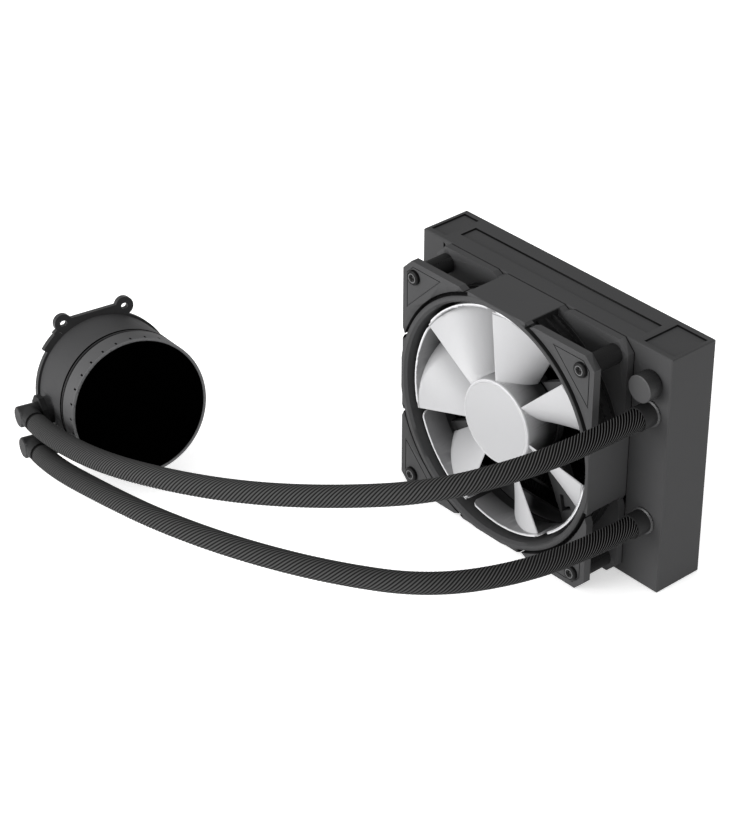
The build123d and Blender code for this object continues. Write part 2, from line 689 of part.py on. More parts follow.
def tip_sector():
    """The piece of ring at a blade's tip: rounded front corners and a front rim that falls away."""
    width, height = TIP_WALL, BLADE_FRONT - TIP_BACK
    section = Pos(TIP_RADIUS - width / 2, TIP_BACK + height / 2) * Rectangle(width, height)
    start = BLADE_SWEEP / 2 - TIP_SPAN
    sector = Rot(0, 0, start) * revolve(Plane.XZ * section, Axis.Z, TIP_SPAN)
    reach = 2 * TIP_RADIUS * sin(radians(TIP_SPAN / 2))
    lead = Rot(0, 0, BLADE_SWEEP / 2) * Pos(TIP_RADIUS, 0, BLADE_FRONT)
    slope = Rot(-degrees(TIP_FALL / reach), 0, 0)
    turn = Rot(0, 0, -TIP_SPAN / 2)
    above = Box(2 * TIP_RADIUS, 3 * TIP_RADIUS, TIP_RADIUS, align=(Align.CENTER, Align.CENTER, Align.MIN))
    sector -= lead * turn * slope.inverse() * above
    middle = (BLADE_FRONT + TIP_BACK) / 2
    corners = [e for e in sector.edges() if e.length < 1.5 * TIP_WALL and e.center().Z > middle]
    return fillet(corners, TIP_CORNER)


def blade():
    """One blade, trimmed to the hub and its tip sector, with the sector."""
    sail = loft([blade_section(BLADE_ROOT), blade_section(TIP_RADIUS + LOFT_MARGIN)], ruled=True)
    sail &= ring(TIP_RADIUS - TIP_WALL / 2, HUB_RADIUS - HUB_WALL / 2, 0, FAN_DEPTH)
    return sail + tip_sector()


def fan_hub():
    """The cup that holds the magnet, with a shallow seat for the face disc."""
    cup = rod(HUB_RADIUS, HUB_BACK, HUB_FRONT)
    cup = fillet(cup.edges().sort_by(Axis.Z)[-1], HUB_EDGE)
    cup -= rod(HUB_BORE, HUB_BACK, HUB_ROOF)
    cup += rod(HUB_BOSS_RADIUS, BOSS_BACK, HUB_ROOF)
    cup -= rod(DISC_RADIUS + SLIP_FIT, HUB_FRONT - DISC_THICKNESS, HUB_FRONT)
    return cup - rod(FAN_SHAFT_RADIUS + THREAD_FIT, BOSS_BACK, SHAFT_FRONT)


def fan_rotor():
    blades = around(BLADE_COUNT, blade(), LEAD_ANGLE - BLADE_SWEEP / 2)
    return FAN * (fan_hub() + blades)


def hub_disc():
    return FAN * rod(DISC_RADIUS, HUB_FRONT - DISC_THICKNESS, HUB_FRONT)


# Fan motor

def fan_shaft():
    """The steel shaft, fixed in the hub, with a groove for its retaining clip."""
    shaft = rod(FAN_SHAFT_RADIUS, SHAFT_BACK_END, SHAFT_FRONT)
    groove_front = CLIP_BACK + CLIP_THICKNESS + CLIP_PLAY
    return FAN * (shaft - ring(2 * FAN_SHAFT_RADIUS, CLIP_GROOVE_RADIUS, BOARD_BACK, groove_front))


def bearing_sleeve():
    back = CLIP_BACK + CLIP_THICKNESS + CLIP_ROOM
    return FAN * ring(SLEEVE_RADIUS, SLEEVE_BORE, back, BEARING_TOP)


def retaining_clip():
    return FAN * ring(CLIP_RADIUS, CLIP_GROOVE_RADIUS + SLIP_FIT, CLIP_BACK, CLIP_BACK + CLIP_THICKNESS)


def rotor_magnet():
    return FAN * ring(HUB_BORE - SLIP_FIT, HUB_BORE - MAGNET_WALL, MAGNET_BACK, MAGNET_FRONT)


def fan_stator_core():
    """The laminated core: a round hub and four poles with wide shoes."""
    rim = Circle(CORE_RADIUS) - Circle(CORE_RADIUS - POLE_SHOE)
    shoe = rim & Rectangle(2 * CORE_RADIUS, 3 * POLE_WIDTH)
    pole = Pos(CORE_RADIUS / 2, 0) * Rectangle(CORE_RADIUS - POLE_SHOE / 2, POLE_WIDTH)
    plan = Circle(CORE_HUB_RADIUS) + (around(4, pole) + [shoe, Rot(0, 0, 90) * shoe])
    plan -= Circle(TUBE_OUTER_RADIUS + SLIP_FIT)
    return FAN * slab(plan, CORE_BACK, CORE_FRONT)


def winding(inner_x, length, width, bulge, back, front):
    """A coil wound round a pole that points along the local x axis."""
    outer, inner = width / 2 + bulge, width / 2 + HOUSING_FIT
    coil = block(inner_x, inner_x + length, -outer, outer, back - bulge, front + bulge)
    coil = fillet(coil.edges().filter_by(Axis.X), bulge / 2)
    return coil - block(inner_x, inner_x + length, -inner, inner, back - HOUSING_FIT, front + HOUSING_FIT)


def fan_coils():
    start = CORE_HUB_RADIUS + SLIP_FIT
    coil = winding(start, COIL_LENGTH, POLE_WIDTH, COIL_BULGE, CORE_BACK, CORE_FRONT)
    return FAN * group(around(4, coil))


def fan_board():
    inner = TUBE_OUTER_RADIUS + SLIP_FIT
    return FAN * ring(BOARD_RADIUS, inner, BOARD_BACK, BOARD_BACK + BOARD_THICKNESS)


def fan_screws():
    """Pan-head screws through the fan's corners into the radiator's channels."""
    top = PLATE_FACE + SCREW_HEAD
    screw = rod(SCREW_HEAD_RADIUS, PLATE_FACE, top)
    screw = fillet(screw.edges().sort_by(Axis.Z)[-1], SCREW_HEAD_EDGE)
    for length, width in ((CROSS_LENGTH, CROSS_WIDTH), (CROSS_WIDTH, CROSS_LENGTH)):
        screw -= block(-length / 2, length / 2, -width / 2, width / 2, top - CROSS_DEPTH, top)
    screw += rod(SCREW_RADIUS, -SCREW_PAST_FRAME, PLATE_FACE)
    return FAN * group(at_corners(screw))


# Pump

def wedge(radius, start, end):
    """A pie-shaped sector between two angles."""
    middle = (start + end) / 2
    corners = [Vector(radius, 0).rotate(Axis.Z, angle) for angle in (start, middle, end)]
    arc = ThreePointArc(*corners)
    return make_face([Line((0, 0), corners[0]), arc, Line(corners[2], (0, 0))])


def ears():
    """The four screw eyes of the mounting ring, and their slotted holes."""
    places = [(sx * EAR_SPREAD, sy * EAR_REACH) for sx in (-1, 1) for sy in (-1, 1)]
    eyes = [Pos(x, y) * Circle(EAR_RADIUS) for x, y in places]
    slots = [Pos(x, y) * SlotOverall(EAR_HOLE_LENGTH, 2 * EAR_HOLE_RADIUS) for x, y in places]
    return eyes, slots


def mounting_ring():
    """The flat ring behind the pump: four ears, straight edges between them, a side lug and a tooth."""
    eyes, slots = ears()
    plan = Circle(RING_OUTER) + Rectangle(2 * EAR_SPREAD, 2 * FLANGE_REACH) + eyes
    plan = Rot(0, 0, RING_TURN) * (plan - slots)
    plan += wedge(LUG_RADIUS, LUG_START, LUG_END)
    plan += wedge(TOOTH_RADIUS, LUG_START - TOOTH_SPAN, LUG_START)
    plan -= Circle(RING_INNER)
    return PUMP * slab(plan, 0, RING_THICKNESS)


def port(y):
    """The plane of a hose port: its z axis points out of the pump's side, away from the radiator."""
    return Plane(origin=(0, y, PORT_Z), x_dir=(0, 0, 1), z_dir=(-1, 0, 0))


def pump_shell():
    """The round housing wall with two bored bosses for the swivel elbows."""
    shell = ring(PUMP_RADIUS, SHELL_BORE, RING_THICKNESS, SHELL_FRONT)
    room = rod(SHELL_BORE, RING_THICKNESS, SHELL_FRONT)
    for y in (PORT_UPPER_Y, PORT_LOWER_Y):
        shell += port(y) * rod(BOSS_RADIUS, PUMP_RADIUS / 2, BOSS_REACH) - room
    for y in (PORT_UPPER_Y, PORT_LOWER_Y):
        shell -= port(y) * rod(STEM_BORE, PUMP_RADIUS / 2, BOSS_REACH)
    return PUMP * shell


def bezel():
    """The front ring: a spigot in the shell, a band between two dark grooves, a ledge and fine ticks."""
    body = ring(PUMP_RADIUS, BEZEL_BORE, BEZEL_BACK, PUMP_LENGTH)
    body += ring(PUMP_RADIUS - GROOVE_DEPTH, BEZEL_BORE, SHELL_FRONT, BEZEL_BACK)
    body += ring(PUMP_RADIUS - BAND_SINK, BEZEL_BORE, SHELL_FRONT + BAND_BACK_GAP, BEZEL_BACK - BAND_FRONT_GAP)
    body += ring(SHELL_BORE - HOUSING_FIT, BEZEL_BORE, SHELL_FRONT - BEZEL_SPIGOT, SHELL_FRONT)
    body += ring(BEZEL_BORE, BEZEL_BORE - LEDGE_WIDTH, LEDGE_FRONT - LEDGE_THICKNESS, LEDGE_FRONT)
    body -= rod(LENS_RADIUS + HOUSING_FIT, PUMP_LENGTH - LENS_THICKNESS, PUMP_LENGTH)
    tick = block(PUMP_RADIUS - TICK_DEPTH, PUMP_RADIUS, -TICK_WIDTH / 2, TICK_WIDTH / 2,
                 PUMP_LENGTH - TICK_INSET - TICK_LENGTH, PUMP_LENGTH - TICK_INSET)
    body -= [Rot(0, 0, TICK_START + k * TICK_STEP) * tick for k in range(TICK_COUNT)]
    return PUMP * body


def lens():
    return PUMP * rod(LENS_RADIUS, PUMP_LENGTH - LENS_THICKNESS, PUMP_LENGTH)


def cold_plate():
    """The copper plate with its fine fins on the wet side and sunk screw holes round its rim."""
    plate = rod(PLATE_RADIUS, PLATE_BACK, PLATE_FRONT)
    step = MICRO_FIN_LENGTH / MICRO_FIN_COUNT
    half = MICRO_FIN_LENGTH / 2
    for k in range(MICRO_FIN_COUNT):
        x = (k - (MICRO_FIN_COUNT - 1) / 2) * step
        plate += block(x - MICRO_FIN_THICKNESS / 2, x + MICRO_FIN_THICKNESS / 2, -half, half,
                       PLATE_FRONT, PLATE_FRONT + MICRO_FIN_HEIGHT)
    hole = rod(PLATE_SCREW_RADIUS + SLIP_FIT, PLATE_BACK, PLATE_FRONT)
    hole += rod(PLATE_HEAD_RADIUS + SLIP_FIT, PLATE_BACK, PLATE_BACK + PLATE_HEAD)
    return PUMP * (plate - around(PLATE_SCREW_COUNT, Pos(PLATE_SCREW_CIRCLE, 0, 0) * hole))


def plate_screws():
    end = PLATE_FRONT + PLATE_SCREW_GRIP
    screw = rod(PLATE_HEAD_RADIUS, PLATE_BACK, PLATE_BACK + PLATE_HEAD)
    screw += rod(PLATE_SCREW_RADIUS, PLATE_BACK + PLATE_HEAD, end)
    return PUMP * group(around(PLATE_SCREW_COUNT, Pos(PLATE_SCREW_CIRCLE, 0, 0) * screw))


def gasket():
    return PUMP * ring(GASKET_OUTER, GASKET_INNER, PLATE_FRONT, PLATE_FRONT + GASKET_THICKNESS)


def pump_base():
    """The moulded body that carries the water: fin chamber, impeller chamber and the two ducts."""
    base = rod(RING_INNER - BASE_EDGE, PLATE_FRONT, RING_THICKNESS)
    base += rod(BASE_RADIUS, RING_THICKNESS, BASE_FRONT)
    half = FIN_CHAMBER_WIDTH / 2
    base -= block(-half, half, -half, half, PLATE_FRONT, FIN_CHAMBER_FRONT)
    groove_front = PLATE_FRONT + GASKET_THICKNESS
    base -= ring(GASKET_OUTER + SLIP_FIT, GASKET_INNER - SLIP_FIT, PLATE_FRONT, groove_front)
    base -= rod(CHAMBER_RADIUS, CHAMBER_BACK, BASE_FRONT)
    eye = Pos(EYE_CIRCLE, 0, 0) * rod(EYE_RADIUS, FIN_CHAMBER_FRONT, CHAMBER_BACK)
    base -= around(EYE_COUNT, eye)
    base -= rod(PUMP_SHAFT_RADIUS + RUNNING_FIT, SHAFT_BACK, CHAMBER_BACK)
    hole_end = PLATE_FRONT + PLATE_SCREW_GRIP + SCREW_POCKET_SPARE
    screw_hole = rod(PLATE_SCREW_RADIUS + THREAD_FIT, PLATE_FRONT, hole_end)
    base -= around(PLATE_SCREW_COUNT, Pos(PLATE_SCREW_CIRCLE, 0, 0) * screw_hole)
    for y in (PORT_UPPER_Y, PORT_LOWER_Y):
        base -= port(y) * rod(STEM_BORE, ELBOW_STEM_INNER - HOUSING_FIT, PUMP_RADIUS)
    base -= port(PORT_UPPER_Y) * rod(DUCT_RADIUS, CHAMBER_RADIUS / 2, PUMP_RADIUS)
    base -= port(PORT_LOWER_Y) * rod(DUCT_RADIUS, DROP_REACH - DUCT_RADIUS, PUMP_RADIUS)
    base -= Pos(-DROP_REACH, PORT_LOWER_Y, 0) * rod(DROP_RADIUS, PLATE_FRONT + DROP_RADIUS, PORT_Z)
    base -= block(-DROP_REACH - DROP_RADIUS, DROP_RADIUS - DROP_REACH, PORT_LOWER_Y - DROP_RADIUS,
                  DROP_RADIUS - half, PLATE_FRONT, FIN_CHAMBER_FRONT)
    return PUMP * base


def impeller():
    """Curved vanes under a disc, with the hub that carries the magnet."""
    disc_back = VANE_BACK + VANE_HEIGHT
    body = rod(IMPELLER_RADIUS, disc_back, disc_back + IMPELLER_DISC)
    body += rod(IMPELLER_HUB_RADIUS, VANE_BACK, disc_back)
    body += rod(MAGNET_INNER - SLIP_FIT, disc_back, PUMP_MAGNET_FRONT)
    root, tip = IMPELLER_HUB_RADIUS - VANE_WIDTH / 2, IMPELLER_RADIUS - VANE_WIDTH
    curve = ThreePointArc((root, 0), ((root + tip) / 2, 2 * VANE_WIDTH), (tip, 0))
    body += around(VANE_COUNT, slab(trace(curve, VANE_WIDTH), VANE_BACK, disc_back))
    return PUMP * (body - rod(PUMP_SHAFT_RADIUS + RUNNING_FIT, VANE_BACK, PUMP_MAGNET_FRONT))


def impeller_magnet():
    return PUMP * ring(MAGNET_OUTER, MAGNET_INNER, PUMP_MAGNET_BACK, PUMP_MAGNET_FRONT)


def impeller_shaft():
    return PUMP * rod(PUMP_SHAFT_RADIUS, SHAFT_BACK, CAN_FRONT - CAN_CAP / 2)


def rotor_can():
    """The thin cap that keeps the water off the windings and holds the shaft's front end."""
    can = rod(CAN_FLANGE_RADIUS, BASE_FRONT, BASE_FRONT + CAN_FLANGE) + rod(CAN_RADIUS, BASE_FRONT, CAN_FRONT)
    can -= rod(CAN_BORE, BASE_FRONT, CAN_FRONT - CAN_CAP)
    return PUMP * (can - rod(PUMP_SHAFT_RADIUS + RUNNING_FIT, CAN_FRONT - CAN_CAP, CAN_FRONT - CAN_CAP / 2))


def pump_stator():
    """The ring of laminations with its teeth pointing in at the can."""
    tip = CAN_RADIUS + HOUSING_FIT
    length = YOKE_BORE + YOKE_WALL / 2 - tip
    tooth = Pos(tip + length / 2 + TOOTH_GAP, 0) * Rectangle(length - 2 * TOOTH_GAP, TOOTH_WIDTH)
    plan = Circle(YOKE_RADIUS) - Circle(YOKE_BORE) + around(TOOTH_COUNT, tooth)
    return PUMP * slab(plan, STATOR_BACK, STATOR_FRONT)


def pump_coils():
    corner = TOOTH_WIDTH / 2 + PUMP_COIL_BULGE
    start = sqrt(YOKE_BORE ** 2 - corner ** 2) - PUMP_COIL_LENGTH - SLIP_FIT
    coil = winding(start, PUMP_COIL_LENGTH, TOOTH_WIDTH, PUMP_COIL_BULGE, STATOR_BACK, STATOR_FRONT)
    return PUMP * group(around(TOOTH_COUNT, coil))


def pump_board():
    return PUMP * rod(BEZEL_BORE - HOUSING_FIT, LEDGE_FRONT, LEDGE_FRONT + PUMP_BOARD_THICKNESS)


def port_collar(y):
    """The eight-sided collar that holds an elbow in its boss."""
    outline = RegularPolygon(COLLAR_APOTHEM, COLLAR_SIDES, major_radius=False, rotation=22.5)
    collar = slab(outline, BOSS_REACH, COLLAR_REACH) - rod(STEM_BORE, BOSS_REACH, COLLAR_REACH)
    return PUMP * (port(y) * collar)


def outlet_plane(route):
    """The plane at a hose's first point, looking along its first run."""
    return Plane(origin=route[0], z_dir=Vector(*route[1]) - Vector(*route[0]))


def elbow(y, route):
    """A swivel elbow: stem in the boss, short barrel with a flat cap, and an outlet aimed along its hose."""
    face = COLLAR_REACH + BARREL_GAP
    barrel = rod(BARREL_RADIUS, face, BARREL_REACH)
    barrel = chamfer(barrel.edges().sort_by(Axis.Z)[-1], BARREL_CHAMFER)
    body = barrel + rod(ELBOW_STEM_RADIUS, ELBOW_STEM_INNER, face)
    body -= ring(2 * ELBOW_STEM_RADIUS, ELBOW_STEM_RADIUS - SEAL_GROOVE, SEAL_REACH, SEAL_REACH + SEAL_WIDTH)
    outlet = rod(ELBOW_SLEEVE_RADIUS, -ELBOW_SLEEVE, -ELBOW_FACE_GAP)
    outlet += rod(SPIGOT_RADIUS, -ELBOW_SLEEVE / 2, SPIGOT_GRIP)
    elbow_body = PUMP * (port(y) * body) + outlet_plane(route) * outlet
    elbow_body -= PUMP * (port(y) * rod(ELBOW_BORE, ELBOW_STEM_INNER, ELBOW_AXIS_REACH + ELBOW_BORE))
    return elbow_body - outlet_plane(route) * rod(SPIGOT_BORE, -ELBOW_SLEEVE, SPIGOT_GRIP)


def elbow_seal(y):
    outer = ELBOW_STEM_RADIUS
    inner = ELBOW_STEM_RADIUS - SEAL_GROOVE + SLIP_FIT
    seal = ring(outer, inner, SEAL_REACH + SLIP_FIT, SEAL_REACH + SEAL_WIDTH - SLIP_FIT)
    return PUMP * (port(y) * seal)


SUB_PARTS = {
    "left_tank": left_tank(),
    "right_tank": right_tank(),
    "left_header_plate": header_plate(CORE_LEFT - HEADER_THICKNESS),
    "right_header_plate": header_plate(CORE_RIGHT),
    "top_channel": top_channel(),
    "bottom_channel": side_channel(0, 1),
    "flat_tubes": flat_tubes(),
    "core_fins": fins(),
    "hose_barbs": group([barb(BARB_LOW_Z), barb(BARB_HIGH_Z)]),
    "hose_ferrules": group([ferrule(BARB_LOW_Z), ferrule(BARB_HIGH_Z)]),
    "fill_plug": fill_plug(),
    "fill_seal": fill_seal(),
    "fan_frame": fan_frame(),
    "fan_rotor": fan_rotor(),
    "hub_disc": hub_disc(),
    "fan_shaft": fan_shaft(),
    "bearing_sleeve": bearing_sleeve(),
    "retaining_clip": retaining_clip(),
    "rotor_magnet": rotor_magnet(),
    "fan_stator_core": fan_stator_core(),
    "fan_coils": fan_coils(),
    "fan_circuit_board": fan_board(),
    "fan_screws": fan_screws(),
    "mounting_ring": mounting_ring(),
    "pump_shell": pump_shell(),
    "pump_bezel": bezel(),
    "pump_lens": lens(),
    "cold_plate": cold_plate(),
    "plate_screws": plate_screws(),
    "plate_gasket": gasket(),
    "pump_base": pump_base(),
    "impeller": impeller(),
    "impeller_magnet": impeller_magnet(),
    "impeller_shaft": impeller_shaft(),
    "rotor_can": rotor_can(),
    "pump_stator": pump_stator(),
    "pump_coils": pump_coils(),
    "pump_circuit_board": pump_board(),
    "port_collars": group([port_collar(PORT_UPPER_Y), port_collar(PORT_LOWER_Y)]),
    "elbow_upper": elbow(PORT_UPPER_Y, UPPER_ROUTE),
    "elbow_lower": elbow(PORT_LOWER_Y, LOWER_ROUTE),
    "elbow_seal_upper": elbow_seal(PORT_UPPER_Y),
    "elbow_seal_lower": elbow_seal(PORT_LOWER_Y),
    "hose_upper": hose(UPPER_ROUTE),
    "hose_lower": hose(LOWER_ROUTE),
}

for name, shape in SUB_PARTS.items():
    export_step(shape, f"parts/{name}.step")
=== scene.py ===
# %% [markdown]
# # A liquid cooler for one processor
# The object is a radiator with a framed fan on its front, a round pump block, and two braided hoses between
# them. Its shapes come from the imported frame, so this lesson is about looks: giving each surface its own
# finish, smoothing the frame's pieces, folding the radiator's fins, and weaving the hoses' sleeves.
# Everything is in metres, and numbers given in millimetres are multiplied by MM.

# %% Load the frame
import json
import math

import bpy
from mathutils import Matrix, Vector


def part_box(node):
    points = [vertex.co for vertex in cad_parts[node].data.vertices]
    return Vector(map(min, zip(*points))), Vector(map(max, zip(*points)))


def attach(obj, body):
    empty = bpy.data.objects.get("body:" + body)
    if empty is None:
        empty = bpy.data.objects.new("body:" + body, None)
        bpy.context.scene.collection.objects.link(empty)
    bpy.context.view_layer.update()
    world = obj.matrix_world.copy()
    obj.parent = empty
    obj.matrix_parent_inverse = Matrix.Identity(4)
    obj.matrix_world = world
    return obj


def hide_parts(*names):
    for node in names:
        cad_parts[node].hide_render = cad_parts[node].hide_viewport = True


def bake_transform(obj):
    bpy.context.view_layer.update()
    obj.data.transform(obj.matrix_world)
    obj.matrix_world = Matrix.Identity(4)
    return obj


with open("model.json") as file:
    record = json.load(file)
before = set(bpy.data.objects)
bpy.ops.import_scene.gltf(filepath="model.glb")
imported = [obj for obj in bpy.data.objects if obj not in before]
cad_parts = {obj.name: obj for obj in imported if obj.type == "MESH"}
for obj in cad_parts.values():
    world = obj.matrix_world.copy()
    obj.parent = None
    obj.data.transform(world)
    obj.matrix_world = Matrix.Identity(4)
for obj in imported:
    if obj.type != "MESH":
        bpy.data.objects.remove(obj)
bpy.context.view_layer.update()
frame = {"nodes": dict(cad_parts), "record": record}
MM = 0.001


# %% Start with nothing selected
def deselect_all():
    for thing in bpy.context.selected_objects:
        thing.select_set(False)


def make_active(thing):
    deselect_all()
    thing.select_set(True)
    bpy.context.view_layer.objects.active = thing


deselect_all()
print("selected objects:", len(bpy.context.selected_objects))

# %% [markdown]
# ## Camera
# The photograph looks down at the cooler from the fan's side, past the radiator's right end. A long lens
# keeps its edges nearly parallel. The camera's azimuth and height angle are those of the photograph, and
# it stands on the line through the middle of the picture.

# %% Place the camera
CAMERA_AZIMUTH = 48.77
CAMERA_ELEVATION = 32.22
CAMERA_PLACE = (0.7322, -0.7587, 0.7157)
LENS_MM = 120.63
SENSOR_MM = 36
NEAREST_SEEN, FARTHEST_SEEN = 0.05, 20

deselect_all()
bpy.ops.object.camera_add(
    location=CAMERA_PLACE,
    rotation=(math.radians(90 - CAMERA_ELEVATION), 0, math.radians(CAMERA_AZIMUTH)),
)
camera = bpy.context.active_object
camera.name = "camera"
camera.data.lens = LENS_MM
camera.data.sensor_width = SENSOR_MM
camera.data.clip_start = NEAREST_SEEN
camera.data.clip_end = FARTHEST_SEEN
bpy.context.scene.camera = camera
print("camera at", CAMERA_PLACE, "with a lens of", LENS_MM, "mm")

# %% [markdown]
# ## Floor and light
# The photograph has a plain white ground and soft light from all sides, a little stronger from the front
# left. A pale floor that glows slightly, a bright world and one large soft light at the front left give the
# same. Two faint lights lift the right side and the top. The Standard view keeps greys as they are set.

# %% Add the floor
FLOOR_SIZE = 12
FLOOR_COLOUR = (0.97, 0.97, 0.97, 1)
FLOOR_ROUGHNESS = 0.9
FLOOR_GLOSS = 0.1
FLOOR_GLOW = 0.42
WHITE = (1, 1, 1, 1)

deselect_all()
bpy.ops.mesh.primitive_plane_add(size=FLOOR_SIZE, location=(0, 0, 0))
floor = bpy.context.active_object
floor.name = "studio_floor"

floor_paint = bpy.data.materials.new("studio_floor_white")
floor_paint.use_nodes = True
floor_shader = floor_paint.node_tree.nodes["Principled BSDF"]
floor_shader.inputs["Base Color"].default_value = FLOOR_COLOUR
floor_shader.inputs["Roughness"].default_value = FLOOR_ROUGHNESS
floor_shader.inputs["Specular IOR Level"].default_value = FLOOR_GLOSS
floor_shader.inputs["Emission Color"].default_value = WHITE
floor_shader.inputs["Emission Strength"].default_value = FLOOR_GLOW
floor.data.materials.append(floor_paint)
print("floor:", FLOOR_SIZE, "m wide")

# %% Add the soft lights
LIGHT_AIM = (-0.05, -0.05, 0.05)
SOFTBOXES = [  # name, place, width in metres, power in watts
    ("front_softbox", (-0.6, -1.9, 0.4), 1.3, 58),
    ("right_softbox", (1.6, -0.2, 0.9), 1.0, 5),
    ("top_softbox", (-0.3, 0.3, 1.8), 1.5, 2),
]

for name, place, width, power in SOFTBOXES:
    deselect_all()
    bpy.ops.object.light_add(type="AREA", location=place)
    light = bpy.context.active_object
    light.name = name
    light.data.size = width
    light.data.energy = power
    light.rotation_euler = (Vector(LIGHT_AIM) - Vector(place)).to_track_quat("-Z", "Y").to_euler()
    print(name, "at", place, "with", power, "W")

# %% Brighten the world
WORLD_STRENGTH = 0.76

world = bpy.data.worlds.new("studio_world")
bpy.context.scene.world = world
world.use_nodes = True
sky = world.node_tree.nodes["Background"]
sky.inputs["Color"].default_value = WHITE
sky.inputs["Strength"].default_value = WORLD_STRENGTH
bpy.context.scene.view_settings.view_transform = "Standard"
print("world strength:", WORLD_STRENGTH)

# %% [markdown]
# ## Shared finish effects
# Moulded plastic, powder coat and rubber differ mostly in grain and in how much their grey wanders. Both
# effects are node groups with named inputs, so that every finish below can use them at its own scale. A few
# helpers come first, because all groups and finishes are put together from the same kinds of node.

# %% Helpers for nodes
FLOAT, COLOUR, VECTOR = "NodeSocketFloat", "NodeSocketColor", "NodeSocketVector"


def new_group(name, inputs, outputs):
    """A shader node group with its sockets, and its input and output nodes."""
    group = bpy.data.node_groups.new(name, "ShaderNodeTree")
    for label, kind, value in inputs:
        socket = group.interface.new_socket(label, in_out="INPUT", socket_type=kind)
        socket.default_value = value
    for label, kind in outputs:
        group.interface.new_socket(label, in_out="OUTPUT", socket_type=kind)
    print("node group:", name)
    return group, group.nodes.new("NodeGroupInput"), group.nodes.new("NodeGroupOutput")


def feed(tree, socket, source):
    """Link an input to another node's output, or set it to a value."""
    if isinstance(source, bpy.types.NodeSocket):
        tree.links.new(source, socket)
    else:
        socket.default_value = source


def math_step(tree, operation, *sources):
    step = tree.nodes.new("ShaderNodeMath")
    step.operation = operation
    for socket, source in zip(step.inputs, sources):
        feed(tree, socket, source)
    return step.outputs["Value"]


def vector_step(tree, operation, *sources):
    step = tree.nodes.new("ShaderNodeVectorMath")
    step.operation = operation
    for socket, source in zip(step.inputs, sources):
        feed(tree, socket, source)
    return step.outputs


def colour_mix(tree, share, first, second):
    """The first colour where the share is 0, and the second where it is 1."""
    mix = tree.nodes.new("ShaderNodeMix")
    mix.data_type = "RGBA"
    feed(tree, mix.inputs["Factor"], share)
    feed(tree, mix.inputs["A"], first)
    feed(tree, mix.inputs["B"], second)
    return mix.outputs["Result"]


def object_place(tree):
    """The place of a point on the object."""
    return tree.nodes.new("ShaderNodeTexCoord").outputs["Object"]


def noise_step(tree, scale):
    noise = tree.nodes.new("ShaderNodeTexNoise")
    tree.links.new(object_place(tree), noise.inputs["Vector"])
    tree.links.new(scale, noise.inputs["Scale"])
    return noise


# %% Build the grain group
grain_group, grain_in, grain_out = new_group(
    "surface_grain",
    [("Scale", FLOAT, 900.0), ("Detail", FLOAT, 3.0)],
    [("Height", FLOAT)],
)
noise = noise_step(grain_group, grain_in.outputs["Scale"])
grain_group.links.new(grain_in.outputs["Detail"], noise.inputs["Detail"])
grain_group.links.new(noise.outputs["Fac"], grain_out.inputs["Height"])

# %% Build the tone group
BROAD_SHARE, FINE_SHARE = 0.65, 0.35

tone_group, tone_in, tone_out = new_group(
    "tone_wander",
    [("Dark", COLOUR, (0.05, 0.05, 0.05, 1)), ("Light", COLOUR, (0.07, 0.07, 0.07, 1)),
     ("Scale", FLOAT, 40.0), ("Speckle", FLOAT, 700.0)],
    [("Color", COLOUR), ("Mask", FLOAT)],
)
broad = noise_step(tone_group, tone_in.outputs["Scale"]).outputs["Fac"]
fine = noise_step(tone_group, tone_in.outputs["Speckle"]).outputs["Fac"]
broad_part = math_step(tone_group, "MULTIPLY", broad, BROAD_SHARE)
blend = math_step(tone_group, "MULTIPLY_ADD", fine, FINE_SHARE, broad_part)
tone = colour_mix(tone_group, blend, tone_in.outputs["Dark"], tone_in.outputs["Light"])
tone_group.links.new(tone, tone_out.inputs["Color"])
tone_group.links.new(blend, tone_out.inputs["Mask"])

# %% [markdown]
# Grooves, gaps and recesses look nearly black on the real cooler, because hardly any light gets into them, so
# their shade is painted into the finishes. Two more groups measure where a point lies: how far it is outside
# a box, and how far it is from an axis and along it. A finish can then take painted shade, or a painted
# highlight, between two such distances.

# %% Build the box group
box_group, box_in, box_out = new_group(
    "box_distance",
    [("Center", VECTOR, (0, 0, 0)), ("Half", VECTOR, (0.01, 0.01, 0.01))],
    [("Distance", FLOAT)],
)
offset = vector_step(box_group, "SUBTRACT", object_place(box_group), box_in.outputs["Center"])["Vector"]
reach = vector_step(box_group, "ABSOLUTE", offset)["Vector"]
beyond = vector_step(box_group, "SUBTRACT", reach, box_in.outputs["Half"])["Vector"]
parts = box_group.nodes.new("ShaderNodeSeparateXYZ")
box_group.links.new(beyond, parts.inputs["Vector"])
wider = math_step(box_group, "MAXIMUM", parts.outputs["X"], parts.outputs["Y"])
widest = math_step(box_group, "MAXIMUM", wider, parts.outputs["Z"])
box_group.links.new(widest, box_out.inputs["Distance"])

# %% Build the axis group
axis_group, axis_in, axis_out = new_group(
    "axis_distance",
    [("Center", VECTOR, (0, 0, 0)), ("Axis", VECTOR, (0, 0, 1))],
    [("Radius", FLOAT), ("Along", FLOAT)],
)
offset = vector_step(axis_group, "SUBTRACT", object_place(axis_group), axis_in.outputs["Center"])["Vector"]
along = vector_step(axis_group, "DOT_PRODUCT", offset, axis_in.outputs["Axis"])["Value"]
across = vector_step(axis_group, "CROSS_PRODUCT", offset, axis_in.outputs["Axis"])["Vector"]
radius = vector_step(axis_group, "LENGTH", across)["Value"]
axis_group.links.new(radius, axis_out.inputs["Radius"])
axis_group.links.new(along, axis_out.inputs["Along"])


# %% Helpers that measure and paint shade and highlights
def group_step(paint, group, **values):
    """A shared group placed in a finish, with its inputs set."""
    step = paint.node_tree.nodes.new("ShaderNodeGroup")
    step.node_tree = group
    for label, value in values.items():
        step.inputs[label].default_value = value
    return step.outputs


def measure_box(paint, center, half):
    """The distance outside a box, given in millimetres."""
    measures = group_step(paint, box_group, Center=[v * MM for v in center], Half=[v * MM for v in half])
    return measures["Distance"]


